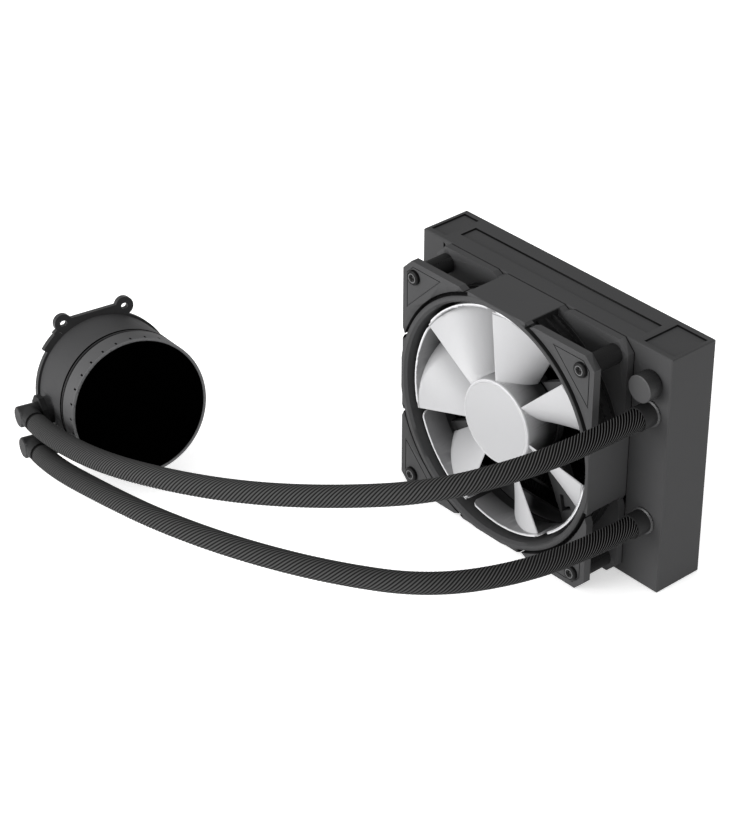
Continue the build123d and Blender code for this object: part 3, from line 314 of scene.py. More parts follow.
def measure_axis(paint, center, axis):
    """The distance from an axis, and the distance along it."""
    measures = group_step(paint, axis_group, Center=[v * MM for v in center], Axis=axis)
    return measures["Radius"], measures["Along"]


def paint_shade_and_highlight(paint, bands, colour, strength=1.0, fade=None):
    """Painted shade, or a painted highlight, in another colour where each measure lies in its band of
    millimetres. A fade goes from none to all.
    """
    tree = paint.node_tree
    mask = strength
    for measure, low, high in bands:
        inside = math_step(tree, "COMPARE", measure, (low + high) / 2 * MM, (high - low) / 2 * MM)
        mask = math_step(tree, "MULTIPLY", inside, mask)
    if fade:
        measure, none, full = fade
        grows = tree.nodes.new("ShaderNodeMapRange")
        grows.inputs["From Min"].default_value = none * MM
        grows.inputs["From Max"].default_value = full * MM
        tree.links.new(measure, grows.inputs["Value"])
        mask = math_step(tree, "MULTIPLY", grows.outputs["Result"], mask)
    shader = tree.nodes["Principled BSDF"]
    before = shader.inputs["Base Color"].links[0].from_socket
    tree.links.new(colour_mix(tree, mask, before, colour), shader.inputs["Base Color"])


# %% Helper for one finish
BLUE_TRACE = 1.02
ROUGHNESS_BELOW, ROUGHNESS_ABOVE = 0.05, 0.07
GRAIN_HEIGHT = 0.1 * MM


def grey(value):
    return (value, value, value * BLUE_TRACE, 1)


def finish(name, dark, light, roughness, grain, bump, metallic=0.0, scale=40.0, gloss=0.25):
    """A principled finish whose colour wanders between two tones and whose surface has a fine grain."""
    paint = bpy.data.materials.new(name)
    paint.use_nodes = True
    nodes, links = paint.node_tree.nodes, paint.node_tree.links
    shader = nodes["Principled BSDF"]
    shader.inputs["Metallic"].default_value = metallic
    shader.inputs["Specular IOR Level"].default_value = gloss
    tone = group_step(paint, tone_group, Dark=dark, Light=light, Scale=scale, Speckle=grain)
    links.new(tone["Color"], shader.inputs["Base Color"])
    spread = nodes.new("ShaderNodeMapRange")
    spread.inputs["To Min"].default_value = roughness - ROUGHNESS_BELOW
    spread.inputs["To Max"].default_value = roughness + ROUGHNESS_ABOVE
    links.new(tone["Mask"], spread.inputs["Value"])
    links.new(spread.outputs["Result"], shader.inputs["Roughness"])
    relief = nodes.new("ShaderNodeBump")
    relief.inputs["Strength"].default_value = bump
    relief.inputs["Distance"].default_value = GRAIN_HEIGHT
    links.new(group_step(paint, grain_group, Scale=grain)["Height"], relief.inputs["Height"])
    links.new(relief.outputs["Normal"], shader.inputs["Normal"])
    return paint


# %% [markdown]
# ## The finishes
# The radiator is powder coated, which is a dull dark grey with a fine orange peel. The fan frame, the pump
# shell and the bezel are moulded plastic in three greys, and the blades are a pale satin plastic. The pump's
# lens is deep black. Hidden pieces are metal, copper, ferrite and board green. Each line gives a finish its
# two tones, its roughness, how fine its grain is and how strongly the grain shows.

# %% Make the finishes that show
powder_coat = finish("powder_coat", grey(0.038), grey(0.047), 0.6, 1500, 0.25, gloss=0.1)
core_black = finish("core_black", grey(0.005), grey(0.009), 0.6, 900, 0.2, gloss=0.1)
fan_plastic = finish("fan_plastic", grey(0.044), grey(0.053), 0.6, 1800, 0.2, gloss=0.08)
blade_plastic = finish("blade_plastic", grey(0.35), grey(0.40), 0.38, 1200, 0.06, scale=12, gloss=0.4)
disc_grey = finish("disc_grey", grey(0.33), grey(0.35), 0.45, 2400, 0.1, scale=10)
shell_grey = finish("shell_grey", grey(0.038), grey(0.045), 0.6, 1900, 0.2, gloss=0.04)
bezel_grey = finish("bezel_grey", grey(0.057), grey(0.067), 0.5, 1900, 0.12, gloss=0.04)
ring_black = finish("ring_black", grey(0.018), grey(0.025), 0.5, 1500, 0.2, gloss=0.15)
fitting_black = finish("fitting_black", grey(0.014), grey(0.020), 0.5, 1700, 0.15, gloss=0.1)
collar_black = finish("collar_black", grey(0.006), grey(0.010), 0.6, 1700, 0.1, gloss=0.08)
barb_metal = finish("barb_metal", grey(0.06), grey(0.08), 0.4, 1500, 0.1, metallic=0.3)
plug_grey = finish("plug_grey", grey(0.042), grey(0.050), 0.5, 1700, 0.15)
seal_rubber = finish("seal_rubber", grey(0.004), grey(0.007), 0.7, 1400, 0.3, gloss=0.1)
screw_black = finish("screw_black", grey(0.005), grey(0.009), 0.4, 1500, 0.1, gloss=0.12)

# %% Make the finishes of hidden pieces
copper = finish("copper", (0.42, 0.18, 0.10, 1), (0.56, 0.26, 0.16, 1), 0.34, 1200, 0.2,
                metallic=1.0, scale=120)
bronze = finish("bronze", (0.45, 0.28, 0.12, 1), (0.55, 0.35, 0.16, 1), 0.4, 2000, 0.2, metallic=1.0)
steel = finish("steel", grey(0.26), grey(0.36), 0.28, 1500, 0.1, metallic=1.0)
lamination = finish("lamination", grey(0.28), grey(0.4), 0.4, 2500, 0.3, metallic=1.0)
ferrite = finish("ferrite", grey(0.06), grey(0.09), 0.6, 1600, 0.2)
board_green = finish("board_green", (0.01, 0.06, 0.025, 1), (0.015, 0.09, 0.04, 1), 0.35, 900, 0.1)
inner_plastic = finish("inner_plastic", grey(0.03), grey(0.045), 0.45, 1500, 0.15)
ceramic = finish("ceramic", grey(0.75), grey(0.82), 0.2, 1500, 0.03)
print("finishes:", len(bpy.data.materials))

# %% Make the black lens
LENS_ROUGHNESS = 0.25
LENS_DARK, LENS_LIGHT = (0.0001, 0.0001, 0.0001, 1), (0.0002, 0.0002, 0.0002, 1)

lens_black = bpy.data.materials.new("lens_black")
lens_black.use_nodes = True
lens_shader = lens_black.node_tree.nodes["Principled BSDF"]
lens_shader.inputs["Roughness"].default_value = LENS_ROUGHNESS
lens_shader.inputs["Specular IOR Level"].default_value = 0.0
lens_tone = group_step(lens_black, tone_group, Dark=LENS_DARK, Light=LENS_LIGHT)
lens_black.node_tree.links.new(lens_tone["Color"], lens_shader.inputs["Base Color"])
print("lens roughness:", LENS_ROUGHNESS)

# %% [markdown]
# The fan's frame gets painted shade in the deep groove round its lip, the gap behind its back plate, the
# engraved corner lines and the room between its plates. The rotor's tip pieces get painted shade inside and a
# painted highlight at their front edge. All are measured in millimetres from the fan's axis, and from the
# plane of its back.

# %% Paint shade into the fan's grooves and gaps
FAN_CENTER = (-4, -13.5, 60)
FAN_AXIS = (0, -1, 0)
FAN_HALF = 60
PAD_HALF = 18.1
EVERYWHERE = 500
DEEP_SHADE = grey(0.002)
GAP_SHADE = grey(0.006)
PLATE_ROOM = {"radius": (58.5, 79), "height": (4.3, 20.1), "rim": 0.6, "strength": 0.9}
LIP_GROOVE = {"radius": (60.45, 62.25), "height": (15, 24.95)}
CORNER_LINES = {"radius": (62.5, 79.9), "height": (24.02, 24.37), "rim": 1.5}
BACK_GAP = {"height": (-0.1, 0.5)}

radius, height = measure_axis(fan_plastic, FAN_CENTER, FAN_AXIS)
outline = measure_box(fan_plastic, FAN_CENTER, (FAN_HALF, EVERYWHERE, FAN_HALF))
beside_pad = measure_box(fan_plastic, FAN_CENTER, (PAD_HALF, EVERYWHERE, EVERYWHERE))
above_pad = measure_box(fan_plastic, FAN_CENTER, (EVERYWHERE, EVERYWHERE, PAD_HALF))
# Painted shade in the room between the plates, the groove round the lip, the engraved corner lines and the
# gap behind the back plate.
paint_shade_and_highlight(fan_plastic, [(radius, *PLATE_ROOM["radius"]), (height, *PLATE_ROOM["height"]),
                      (outline, -FAN_HALF, -PLATE_ROOM["rim"])], GAP_SHADE, PLATE_ROOM["strength"])
paint_shade_and_highlight(fan_plastic, [(radius, *LIP_GROOVE["radius"]), (height, *LIP_GROOVE["height"]),
                      (beside_pad, 0, FAN_HALF), (above_pad, 0, FAN_HALF)], GAP_SHADE)
paint_shade_and_highlight(fan_plastic, [(radius, *CORNER_LINES["radius"]), (height, *CORNER_LINES["height"]),
                      (outline, -FAN_HALF, -CORNER_LINES["rim"])], DEEP_SHADE)
paint_shade_and_highlight(fan_plastic, [(height, *BACK_GAP["height"])], DEEP_SHADE)
print("fan frame darkened in 4 places")

# %% Paint a highlight ring on the screw heads
SCREW_OFFSET = 52.5
HEAD_HIGHLIGHT = {"radius": (1.9, 2.3), "height": (26.1, 26.3)}

for side_x in (-SCREW_OFFSET, SCREW_OFFSET):
    for side_z in (-SCREW_OFFSET, SCREW_OFFSET):
        screw = (FAN_CENTER[0] + side_x, FAN_CENTER[1], FAN_CENTER[2] + side_z)
        radius, height = measure_axis(screw_black, screw, FAN_AXIS)
        # A painted highlight: a pale ring on each dark screw head.
        paint_shade_and_highlight(screw_black, [(radius, *HEAD_HIGHLIGHT["radius"]), (height, *HEAD_HIGHLIGHT["height"])], grey(0.11))
        print("ring on the screw at", screw)

# %% Paint shade and highlights on the rotor
HUB_SIDE_SHADE = (19.5, 20.8)
TIP_INSIDE_SHADE = (53.5, 54.05)
TIP_PIECE_SHADE = (53.5, 56)
TIP_EDGE_HIGHLIGHT = {"radius": (54.6, 56), "height": (19, 30)}
HUB_EDGE_HIGHLIGHT = {"radius": (20.1, 20.6), "height": (21.6, 23)}

radius, height = measure_axis(blade_plastic, FAN_CENTER, FAN_AXIS)
# Painted shade on the hub's side, inside the tip pieces and over the tip pieces towards the back; painted
# highlights on the tips' front edge and the hub's edge.
paint_shade_and_highlight(blade_plastic, [(radius, *HUB_SIDE_SHADE)], grey(0.03), fade=(height, 21.5, 9))
paint_shade_and_highlight(blade_plastic, [(radius, *TIP_INSIDE_SHADE)], grey(0.18))
paint_shade_and_highlight(blade_plastic, [(radius, *TIP_PIECE_SHADE)], grey(0.05), fade=(height, 18, 6))
paint_shade_and_highlight(blade_plastic, [(radius, *TIP_EDGE_HIGHLIGHT["radius"]), (height, *TIP_EDGE_HIGHLIGHT["height"])], grey(0.6))
paint_shade_and_highlight(blade_plastic, [(radius, *HUB_EDGE_HIGHLIGHT["radius"]), (height, *HUB_EDGE_HIGHLIGHT["height"])], grey(0.52))
print("rotor shaded in 5 places")

# %% [markdown]
# The radiator's top has one long sunken panel and a short one over each tank. Their edges read as thin dark
# lines of painted shade, which a mask round each panel's outline gives. The fill plug's sides get painted
# shade, which leaves its face lighter.

# %% Paint shade on the radiator's recess edges and the plug's sides
TOP_FACE = {"center": (0, 0, 119.4), "half": (77, 13, 0.55)}
RECESSES = [(-70.75, 4.75, 10.3), (66.75, 8.75, 10.3), (-4, 58.2, 4.8)]  # x, half width, half depth
RECESS_EDGE_SHADE = (-0.35, 0.1)
PLUG_CENTER = (67, 0, 60)
PLUG_FACE = 21.2

top = measure_box(powder_coat, TOP_FACE["center"], TOP_FACE["half"])
for recess_x, half_x, half_y in RECESSES:
    edge = measure_box(powder_coat, (recess_x, 0, 0), (half_x, half_y, EVERYWHERE))
    # Painted shade along each sunken panel's edge.
    paint_shade_and_highlight(powder_coat, [(edge, *RECESS_EDGE_SHADE), (top, -EVERYWHERE, 0)], DEEP_SHADE)
plug_depth = measure_box(plug_grey, PLUG_CENTER, (EVERYWHERE, PLUG_FACE, EVERYWHERE))
# Painted shade on the plug's sides.
paint_shade_and_highlight(plug_grey, [(plug_depth, -EVERYWHERE, 0)], grey(0.018))
print("radiator:", len(RECESSES), "recess edges darkened")

# %% [markdown]
# The pump lies turned and tilted, so its measures follow its own axis. Its bezel stands off the shell over a
# gap and has small ticks round its side, both dark with painted shade, and it ends in a rim with a painted
# highlight. The two port bosses on the shell get painted shade that deepens towards the floor.

# %% Paint shade into the pump's gap, ticks and bosses, and a highlight on its rim
PUMP_CENTER = (-176.85, -125.0, 38.31)
PUMP_TURN = math.radians(-13.7)
PUMP_TILT = math.radians(11.5)
PUMP_AXIS = (math.cos(PUMP_TILT) * math.cos(PUMP_TURN), math.cos(PUMP_TILT) * math.sin(PUMP_TURN),
             math.sin(PUMP_TILT))
# Painted shade on the foot under the bezel, its gap, the gap floor and the ticks, and a painted highlight on
# the rim.
BEZEL_SHADE_AND_HIGHLIGHT = [  # radius, height, tone: foot, gap, gap floor, ticks, bright rim
    ((31.8, 34), (28.5, 31.95), grey(0.016)),
    ((31.8, 34), (30.6, 32.25), DEEP_SHADE),
    ((31.8, 32.8), (28.5, 32.05), DEEP_SHADE),
    ((32.0, 32.97), (40.75, 43.05), DEEP_SHADE),
    ((31.9, 34), (43.8, 44.1), grey(0.11)),
]
SHELL_EDGE_SHADE = {"radius": (31, 34), "height": (28.35, 28.8)}
BOSS_SHADE = {"radius": (33.3, 60), "height": (2, 28), "fade": (4, 13)}
ABOVE_BOSSES_Z = 52

radius, height = measure_axis(bezel_grey, PUMP_CENTER, PUMP_AXIS)
for ring, span, tone in BEZEL_SHADE_AND_HIGHLIGHT:
    paint_shade_and_highlight(bezel_grey, [(radius, *ring), (height, *span)], tone)
radius, height = measure_axis(shell_grey, PUMP_CENTER, PUMP_AXIS)
# Painted shade on the shell's edge under the bezel.
paint_shade_and_highlight(shell_grey, [(radius, *SHELL_EDGE_SHADE["radius"]), (height, *SHELL_EDGE_SHADE["height"])], DEEP_SHADE)
# Painted shade on the port bosses, growing towards the floor.
boss_depth = measure_box(shell_grey, (0, 0, ABOVE_BOSSES_Z), (EVERYWHERE, EVERYWHERE, 0))
paint_shade_and_highlight(shell_grey, [(radius, *BOSS_SHADE["radius"]), (height, *BOSS_SHADE["height"])], grey(0.004),
        fade=(boss_depth, *BOSS_SHADE["fade"]))
print("pump painted in", len(BEZEL_SHADE_AND_HIGHLIGHT) + 2, "places")

# %% [markdown]
# ## Pieces of the frame
# The frame's pieces come in as loose triangles with flat faces. A copy of each is welded, and its round faces
# are shaded smooth while real edges stay sharp. A Weighted Normal modifier keeps the large faces flat. The
# copy then stands for the frame's piece and moves with the same body.

# %% Helper for a welded copy
BODY_OF = {node: body for body, nodes in frame["record"]["behaviour"]["bodies"].items() for node in nodes}
WELD_DISTANCE = 0.002 * MM
SMOOTH_ANGLE = 28


def edit_all(piece):
    make_active(piece)
    bpy.ops.object.mode_set(mode="EDIT")
    bpy.ops.mesh.select_all(action="SELECT")


def leave_edit():
    bpy.ops.object.mode_set(mode="OBJECT")


def dressed(node, paint):
    """A welded, smooth-shaded copy of a frame piece, in its finish."""
    piece = bpy.data.objects.new(node + "_dressed", frame["nodes"][node].data.copy())
    bpy.context.scene.collection.objects.link(piece)
    piece.data.materials.clear()
    piece.data.materials.append(paint)
    edit_all(piece)
    bpy.ops.mesh.remove_doubles(threshold=WELD_DISTANCE)
    leave_edit()
    make_active(piece)
    bpy.ops.object.shade_smooth_by_angle(angle=math.radians(SMOOTH_ANGLE))
    even = piece.modifiers.new("even_shading", "WEIGHTED_NORMAL")
    even.mode = "FACE_AREA"
    even.keep_sharp = True
    bpy.ops.object.modifier_apply(modifier=even.name)
    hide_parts(node)
    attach(piece, BODY_OF[node])
    print(piece.name, len(piece.data.polygons), "faces")
    return piece


# %% Helper that rounds a turned piece's shading
OFF_AXIS_ANGLE = 12


def away_from_axis(point, center, axis):
    """The direction from an axis to a point, square to the axis."""
    out = point - center
    return (out - axis * out.dot(axis)).normalized()


def round_about(piece, center, axis):
    """Exact round normals on every face that looks straight out from an axis, or straight in to it."""
    axis, center = Vector(axis), Vector([v * MM for v in center])
    mesh = piece.data
    normals = [corner.vector.copy() for corner in mesh.corner_normals]
    nearly = math.cos(math.radians(OFF_AXIS_ANGLE))
    rounded = 0
    for polygon in mesh.polygons:
        side = polygon.normal.dot(away_from_axis(polygon.center, center, axis))
        if abs(side) < nearly:
            continue
        for loop in polygon.loop_indices:
            out = away_from_axis(mesh.vertices[mesh.loops[loop].vertex_index].co, center, axis)
            normals[loop] = out if side > 0 else -out
        rounded += 1
    mesh.normals_split_custom_set(normals)
    print(piece.name, rounded, "faces rounded")


# %% [markdown]
# The radiator's tanks and channels share one powder coat. The plug, its seal, the barbs and the ferrules that
# hold the sleeves' ends are pieces of their own on the real cooler, so each has its own finish.

# %% Dress the radiator
for node in ("left_tank", "right_tank", "top_channel", "bottom_channel"):
    dressed(node, powder_coat)
dressed("fill_plug", plug_grey)
dressed("fill_seal", seal_rubber)
dressed("hose_barbs", barb_metal)
dressed("hose_ferrules", fitting_black)

# %% [markdown]
# The fan's frame is one dark moulding, and its rotor is a pale one under a thin disc. Both have round walls
# beside flat ones, which is where shading by angle matters most.

# %% Dress the fan
dressed("fan_frame", fan_plastic)
dressed("fan_rotor", blade_plastic)
dressed("hub_disc", disc_grey)
dressed("fan_screws", screw_black)

# %% [markdown]
# The pump's shell, bezel and mounting ring are three greys of moulding, round a black lens. The bezel is a
# turned piece cut by ticks, so its long thin triangles would show as streaks. Exact round normals prevent
# that. Its back is the copper plate that sits on the processor.

# %% Dress the pump
dressed("pump_shell", shell_grey)
bezel = dressed("pump_bezel", bezel_grey)
round_about(bezel, PUMP_CENTER, PUMP_AXIS)
dressed("pump_lens", lens_black)
dressed("mounting_ring", ring_black)
dressed("cold_plate", copper)
dressed("plate_screws", steel)
dressed("port_collars", collar_black)
dressed("elbow_upper", fitting_black)
dressed("elbow_lower", fitting_black)

# %% [markdown]
# Pieces that no view shows keep the frame's own mesh. Each still gets a real finish, for anyone who takes the
# cooler apart.

# %% Paint the hidden pieces
HIDDEN = {
    "left_header_plate": core_black, "right_header_plate": core_black, "flat_tubes": core_black,
    "fan_shaft": steel, "bearing_sleeve": bronze, "retaining_clip": ceramic,
    "rotor_magnet": ferrite, "fan_stator_core": lamination, "fan_coils": copper,
    "fan_circuit_board": board_green, "plate_gasket": seal_rubber, "pump_base": inner_plastic,
    "impeller": inner_plastic, "impeller_magnet": ferrite, "impeller_shaft": ceramic,
    "rotor_can": inner_plastic, "pump_stator": lamination, "pump_coils": copper,
    "pump_circuit_board": board_green, "elbow_seal_upper": seal_rubber, "elbow_seal_lower": seal_rubber,
}
for node, paint in HIDDEN.items():
    mesh = frame["nodes"][node].data
    mesh.materials.clear()
    mesh.materials.append(paint)
print("painted where they are:", len(HIDDEN), "pieces")

# %% [markdown]
# ## Folded fins
# The frame's fin strips have wide folds, which the CAD needs to stay light. Real strips are folded from thin
# foil about every two millimetres. So finer strips of the same size take their place between the same tubes.
# One strip is a flat grid whose every second line of points is lifted. It gets its thickness from a Solidify
# modifier, and an Array modifier repeats it between the tubes.

# %% Fold one strip
FIN_STRIPS = 15
FLAT_TUBE = 2.0 * MM
FIN_FOLDS = 60
FOIL_RISE = 0.7 * MM

low, high = (Vector(corner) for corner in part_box("core_fins"))
strip_height = (high.z - low.z - (FIN_STRIPS - 1) * FLAT_TUBE) / FIN_STRIPS
deselect_all()
bpy.ops.mesh.primitive_grid_add(
    x_subdivisions=2 * FIN_FOLDS, y_subdivisions=1, size=1,
    location=((low.x + high.x) / 2, (low.y + high.y) / 2, low.z))
fins = bpy.context.active_object
fins.name = "folded_fins"
fins.scale = (high.x - low.x, high.y - low.y, 1)
bpy.ops.object.transform_apply(location=True, rotation=False, scale=True)

edit_all(fins)
bpy.ops.mesh.select_all(action="DESELECT")
leave_edit()
for vertex in fins.data.vertices:
    fold = round((vertex.co.x - low.x) / (high.x - low.x) * 2 * FIN_FOLDS)
    vertex.select = fold % 2 == 1
bpy.ops.object.mode_set(mode="EDIT")
bpy.ops.transform.translate(value=(0, 0, strip_height - FOIL_RISE))
leave_edit()
print("one strip:", len(fins.data.polygons), "faces,", round(strip_height / MM, 2), "mm high")

# %% Thicken and repeat the strip
foil = fins.modifiers.new("foil", "SOLIDIFY")
foil.thickness = FOIL_RISE
foil.offset = 1
bpy.ops.object.modifier_apply(modifier=foil.name)
edit_all(fins)
bpy.ops.mesh.normals_make_consistent(inside=False)
leave_edit()
stack = fins.modifiers.new("stack", "ARRAY")
stack.count = FIN_STRIPS
stack.use_relative_offset = False
stack.use_constant_offset = True
stack.constant_offset_displace = (0, 0, strip_height + FLAT_TUBE)
bpy.ops.object.modifier_apply(modifier=stack.name)
fins.data.materials.append(core_black)
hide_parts("core_fins")
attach(fins, BODY_OF["core_fins"])
rises = [vertex.co.z / MM for vertex in fins.data.vertices]
print("folded fins:", len(fins.data.polygons), "faces")
print("height, mm: from", round(min(rises), 2), "to", round(max(rises), 2))

# %% [markdown]
# ## Hoses
# Each hose is a rubber tube in a tight woven sleeve whose strands wind round it at about 45 degrees. Its line
# is a smooth spline through a few given control points. A ribbed tube is then built along the points
# read back from that spline, with one rounded ridge for each strand, so the ridges show on the outline too.

# %% Spline of a hose
HOSE_DIAMETER = 10 * MM
LINE_RESOLUTION = 40
UPPER_ROUTE = [
    (-0.1642, -0.1731, 0.0408), (-0.148, -0.177, 0.043), (-0.1085, -0.1775, 0.0485),
    (-0.068, -0.1705, 0.056), (-0.0285, -0.1585, 0.064), (0.0085, -0.14, 0.0725),
    (0.04, -0.1155, 0.08), (0.059, -0.081, 0.086), (0.067, -0.042, 0.0895), (0.067, -0.0147, 0.0895),
]
LOWER_ROUTE = [
    (-0.1612, -0.1737, 0.0257), (-0.145, -0.1775, 0.028), (-0.111, -0.176, 0.0305),
    (-0.075, -0.1715, 0.032), (-0.034, -0.16, 0.033), (0.006, -0.142, 0.0335),
    (0.0405, -0.118, 0.0335), (0.06, -0.083, 0.034), (0.067, -0.042, 0.034), (0.067, -0.0147, 0.034),
]


def smooth_line(name, route):
    """The points along a NURBS spline with the route as its control points."""
    data = bpy.data.curves.new(name, "CURVE")
    data.dimensions = "3D"
    data.resolution_u = LINE_RESOLUTION
    spline = data.splines.new("NURBS")
    spline.points.add(len(route) - 1)
    for point, place in zip(spline.points, route):
        point.co = (*place, 1)
    spline.order_u = 3
    spline.use_endpoint_u = True
    thing = bpy.data.objects.new(name, data)
    bpy.context.scene.collection.objects.link(thing)
    bpy.context.view_layer.update()
    line = bpy.data.meshes.new_from_object(thing)
    points = [vertex.co.copy() for vertex in line.vertices]
    bpy.data.objects.remove(thing)
    print(name, "has", len(points), "points")
    return points


# %% Even rings along a line
RING_STEP = 0.8 * MM


def even_points(points, step):
    """Points at even steps along a line, with the length so far at each."""
    reach = [0.0]
    for a, b in zip(points, points[1:]):
        reach.append(reach[-1] + (b - a).length)
    count = round(reach[-1] / step)
    places, k = [], 0
    for n in range(count + 1):
        want = reach[-1] * n / count
        while k < len(points) - 2 and reach[k + 1] < want:
            k += 1
        share = (want - reach[k]) / (reach[k + 1] - reach[k])
        places.append((points[k].lerp(points[k + 1], min(share, 1)), want))
    return places, reach[-1]


# %% [markdown]
# The weave isn't the same all along. At the elbow a strand winds once round the hose in a short length, and
# it lies flat. Towards the middle it takes half as much again, and its ridge has its full height. That length
# is the strand's lead, and one table of leads gives the weave its angle all along the hose.

# %% One ring of strands
STRANDS = 16
STRAND_SIDES = 6
STRAND_LEADS = [(0, 20), (55, 23), (110, 32.5), (205, 32.5), (270, 25.5), (1000, 25.5)]  # reach, lead in mm
RIDGE_DEPTH = 0.36 * MM
RIDGE_ROUNDNESS = 0.5
ELBOW_RIDGE_SHARE = 0.35
FULL_RIDGE_AT = 90 * MM


def strand_lead(reach):
    """The length in which a strand winds once round the hose, at a distance from the elbow."""
    for (a, lead_a), (b, lead_b) in zip(STRAND_LEADS, STRAND_LEADS[1:]):
        if reach / MM <= b:
            break
    return (lead_a + (lead_b - lead_a) * (reach / MM - a) / (b - a)) * MM


def ridge_depth(reach):
    return RIDGE_DEPTH * (ELBOW_RIDGE_SHARE + (1 - ELBOW_RIDGE_SHARE) * min(reach / FULL_RIDGE_AT, 1))


def strand_ring(center, side, other, twist, depth):
    """The points of one ring, with a rounded ridge for each strand."""
    ring = []
    for k in range(STRANDS * STRAND_SIDES):
        rise = abs(math.cos(math.pi * k / STRAND_SIDES))
        radius = HOSE_DIAMETER / 2 - depth * (1 - rise ** RIDGE_ROUNDNESS)
        turn = 2 * math.pi * k / (STRANDS * STRAND_SIDES) + twist
        ring.append(center + side * radius * math.cos(turn) + other * radius * math.sin(turn))
    return ring


# %% Braided tube along a line
PATTERN_LENGTH = 35 * MM
SLEEVE_SMOOTH_ANGLE = 50


def map_strands(mesh, corners):
    """A UV map that counts pattern lengths along the hose and strands round it."""
    layer = mesh.uv_layers.new(name="sleeve")
    for polygon, (n, k) in zip(mesh.polygons, corners):
        for loop, (dn, dk) in zip(polygon.loop_indices, ((0, 0), (0, 1), (1, 1), (1, 0))):
            layer.data[loop].uv = ((n + dn) * RING_STEP / PATTERN_LENGTH, (k + dk) / STRAND_SIDES)


def braided_tube(name, points, paint):
    """A closed tube of rounded strands that wind along the line."""
    places, length = even_points(points, RING_STEP)
    sides = STRANDS * STRAND_SIDES
    vertices, faces, corners = [], [], []
    side = Vector((0, 0, 1))
    twist = 0.0
    for n, (place, reach) in enumerate(places):
        before, after = places[max(n - 1, 0)][0], places[min(n + 1, len(places) - 1)][0]
        along = (after - before).normalized()
        side = (side - along * side.dot(along)).normalized()
        twist -= 2 * math.pi * RING_STEP / strand_lead(reach)
        vertices += strand_ring(place, side, along.cross(side), twist, ridge_depth(reach))
    for n in range(len(places) - 1):
        for k in range(sides):
            a, b = n * sides + k, n * sides + (k + 1) % sides
            faces.append((a, b, b + sides, a + sides))
            corners.append((n, k))
    faces.append(tuple(range(sides - 1, -1, -1)))
    faces.append(tuple(range((len(places) - 1) * sides, len(places) * sides)))
    mesh = bpy.data.meshes.new(name)
    mesh.from_pydata(vertices, [], faces)
    map_strands(mesh, corners)
    mesh.materials.append(paint)
    tube = bpy.data.objects.new(name, mesh)
    bpy.context.scene.collection.objects.link(tube)
    make_active(tube)
    bpy.ops.object.shade_smooth_by_angle(angle=math.radians(SLEEVE_SMOOTH_ANGLE))
    print(name, "length, mm:", round(length / MM, 1), "faces:", len(mesh.polygons))
    return tube, length


# %% [markdown]
# The sleeve's threads are dark grey with hardly any sheen. The UV map counts the strands, so a wave on it
# paints each strand from a lighter crest to a dark valley: painted shade between the ridges, and where the
# weave is stretched at the barb, also the black hose showing through. A fine cross thread gives each strand
# its weave.
# Three tones of weave follow one another along the hose: tight at the elbow, even in the middle, and
# stretched at the barb. A thin dark ring marks where the sleeve starts.

# %% Start the sleeve's finish
SLEEVE_ROUGHNESS = 0.8
SLEEVE_GLOSS = 0.03

sleeve_braid = bpy.data.materials.new("sleeve_braid")
sleeve_braid.use_nodes = True
braid_tree = sleeve_braid.node_tree
sleeve_shader = braid_tree.nodes["Principled BSDF"]
sleeve_shader.inputs["Roughness"].default_value = SLEEVE_ROUGHNESS
sleeve_shader.inputs["Specular IOR Level"].default_value = SLEEVE_GLOSS
sleeve_uv = braid_tree.nodes.new("ShaderNodeUVMap")
sleeve_uv.uv_map = "sleeve"
parts = braid_tree.nodes.new("ShaderNodeSeparateXYZ")
braid_tree.links.new(sleeve_uv.outputs["UV"], parts.inputs["Vector"])


def sleeve_ramp(source, stops):
    """Greys along a factor from 0 to 1."""
    ramp = braid_tree.nodes.new("ShaderNodeValToRGB")
    ends = ramp.color_ramp.elements
    for at, _ in stops[1:-1]:
        ends.new(at)
    for element, (at, value) in zip(sorted(ends, key=lambda e: e.position), stops):
        element.position = at
        element.color = (value, value, value, 1)
    braid_tree.links.new(source, ramp.inputs["Fac"])
    return ramp.outputs["Color"]


# %% Tone the weave across each strand, with painted shade in its valleys
STRAND_CREST, STRAND_VALLEY = 0, 0.5
# Each weave runs from the strand's crest to painted shade in the valley between strands.
EVEN_WEAVE = [(STRAND_CREST, 0.066), (0.25, 0.034), (STRAND_VALLEY, 0.0015)]
STRETCHED_WEAVE = [(STRAND_CREST, 0.11), (0.08, 0.06), (0.18, 0.002), (STRAND_VALLEY, 0.0003)]
TIGHT_WEAVE = [(STRAND_CREST, 0.036), (0.3, 0.030), (STRAND_VALLEY, 0.021)]
START_RING = [(0, 0.001), (1, 0.001)]

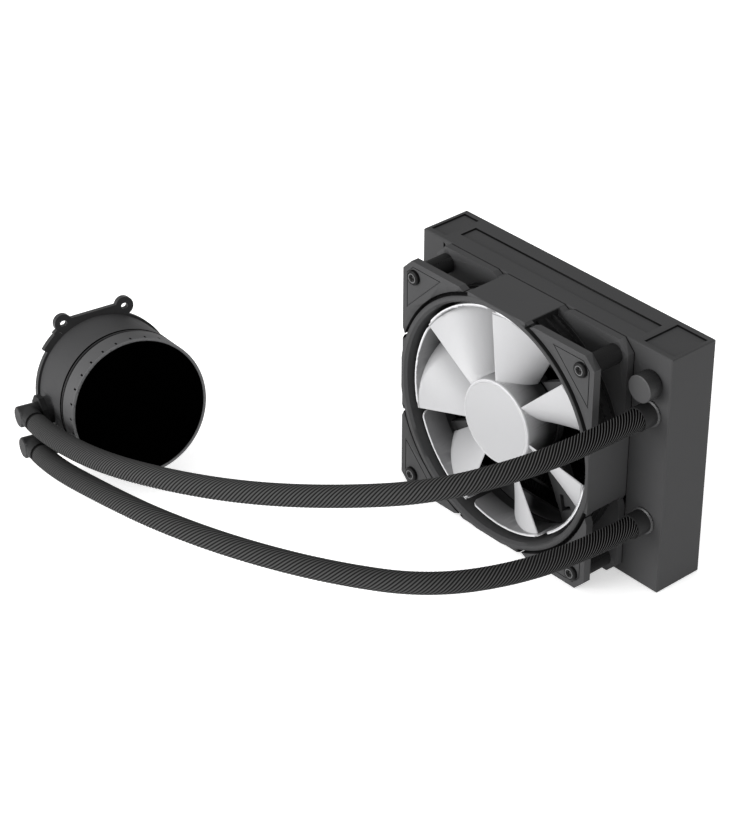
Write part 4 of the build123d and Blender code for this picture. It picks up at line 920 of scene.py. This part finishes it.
across_strand = math_step(braid_tree, "PINGPONG", parts.outputs["Y"], STRAND_VALLEY)
even_weave = sleeve_ramp(across_strand, EVEN_WEAVE)
stretched_weave = sleeve_ramp(across_strand, STRETCHED_WEAVE)
tight_weave = sleeve_ramp(across_strand, TIGHT_WEAVE)
start_ring = sleeve_ramp(across_strand, START_RING)
print("weaves: even, stretched and tight, with a ring at the start")

# %% Change the weave along the hose
PATTERNS_IN_RAMP = 10
BARB_SHARE = [(0, 0), (0.60, 0), (0.84, 1), (1, 1)]
ELBOW_SHARE = [(0, 1), (0.08, 0.8), (0.2, 0), (1, 0)]
RING_SHARE = [(0, 1), (0.0062, 1), (0.0072, 0), (1, 0)]

along_hose = math_step(braid_tree, "DIVIDE", parts.outputs["X"], PATTERNS_IN_RAMP)
weave_tone = colour_mix(braid_tree, sleeve_ramp(along_hose, BARB_SHARE), even_weave, stretched_weave)
weave_tone = colour_mix(braid_tree, sleeve_ramp(along_hose, ELBOW_SHARE), weave_tone, tight_weave)
weave_tone = colour_mix(braid_tree, sleeve_ramp(along_hose, RING_SHARE), weave_tone, start_ring)
braid_tree.links.new(weave_tone, sleeve_shader.inputs["Base Color"])
print("weave changes over", round(PATTERNS_IN_RAMP * PATTERN_LENGTH / MM), "mm")

# %% Add the cross threads
THREAD_SCALE = 60
THREAD_STRENGTH = 0.25
THREAD_HEIGHT = 0.1 * MM

threads = braid_tree.nodes.new("ShaderNodeTexWave")
threads.wave_type = "BANDS"
threads.inputs["Scale"].default_value = THREAD_SCALE
braid_tree.links.new(sleeve_uv.outputs["UV"], threads.inputs["Vector"])
weave = braid_tree.nodes.new("ShaderNodeBump")
weave.inputs["Strength"].default_value = THREAD_STRENGTH
weave.inputs["Distance"].default_value = THREAD_HEIGHT
braid_tree.links.new(threads.outputs["Fac"], weave.inputs["Height"])
braid_tree.links.new(weave.outputs["Normal"], sleeve_shader.inputs["Normal"])
print("cross threads:", THREAD_HEIGHT / MM, "mm high")


# %% Lay the hoses
def lay_hose(name, route, node):
    """A braided hose from its elbow to its barb, in place of the frame's hose."""
    points = smooth_line(name + "_line", route)
    tube, length = braided_tube(name, points, sleeve_braid)
    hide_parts(node)
    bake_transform(tube)


lay_hose("braided_hose_upper", UPPER_ROUTE, "hose_upper")
lay_hose("braided_hose_lower", LOWER_ROUTE, "hose_lower")
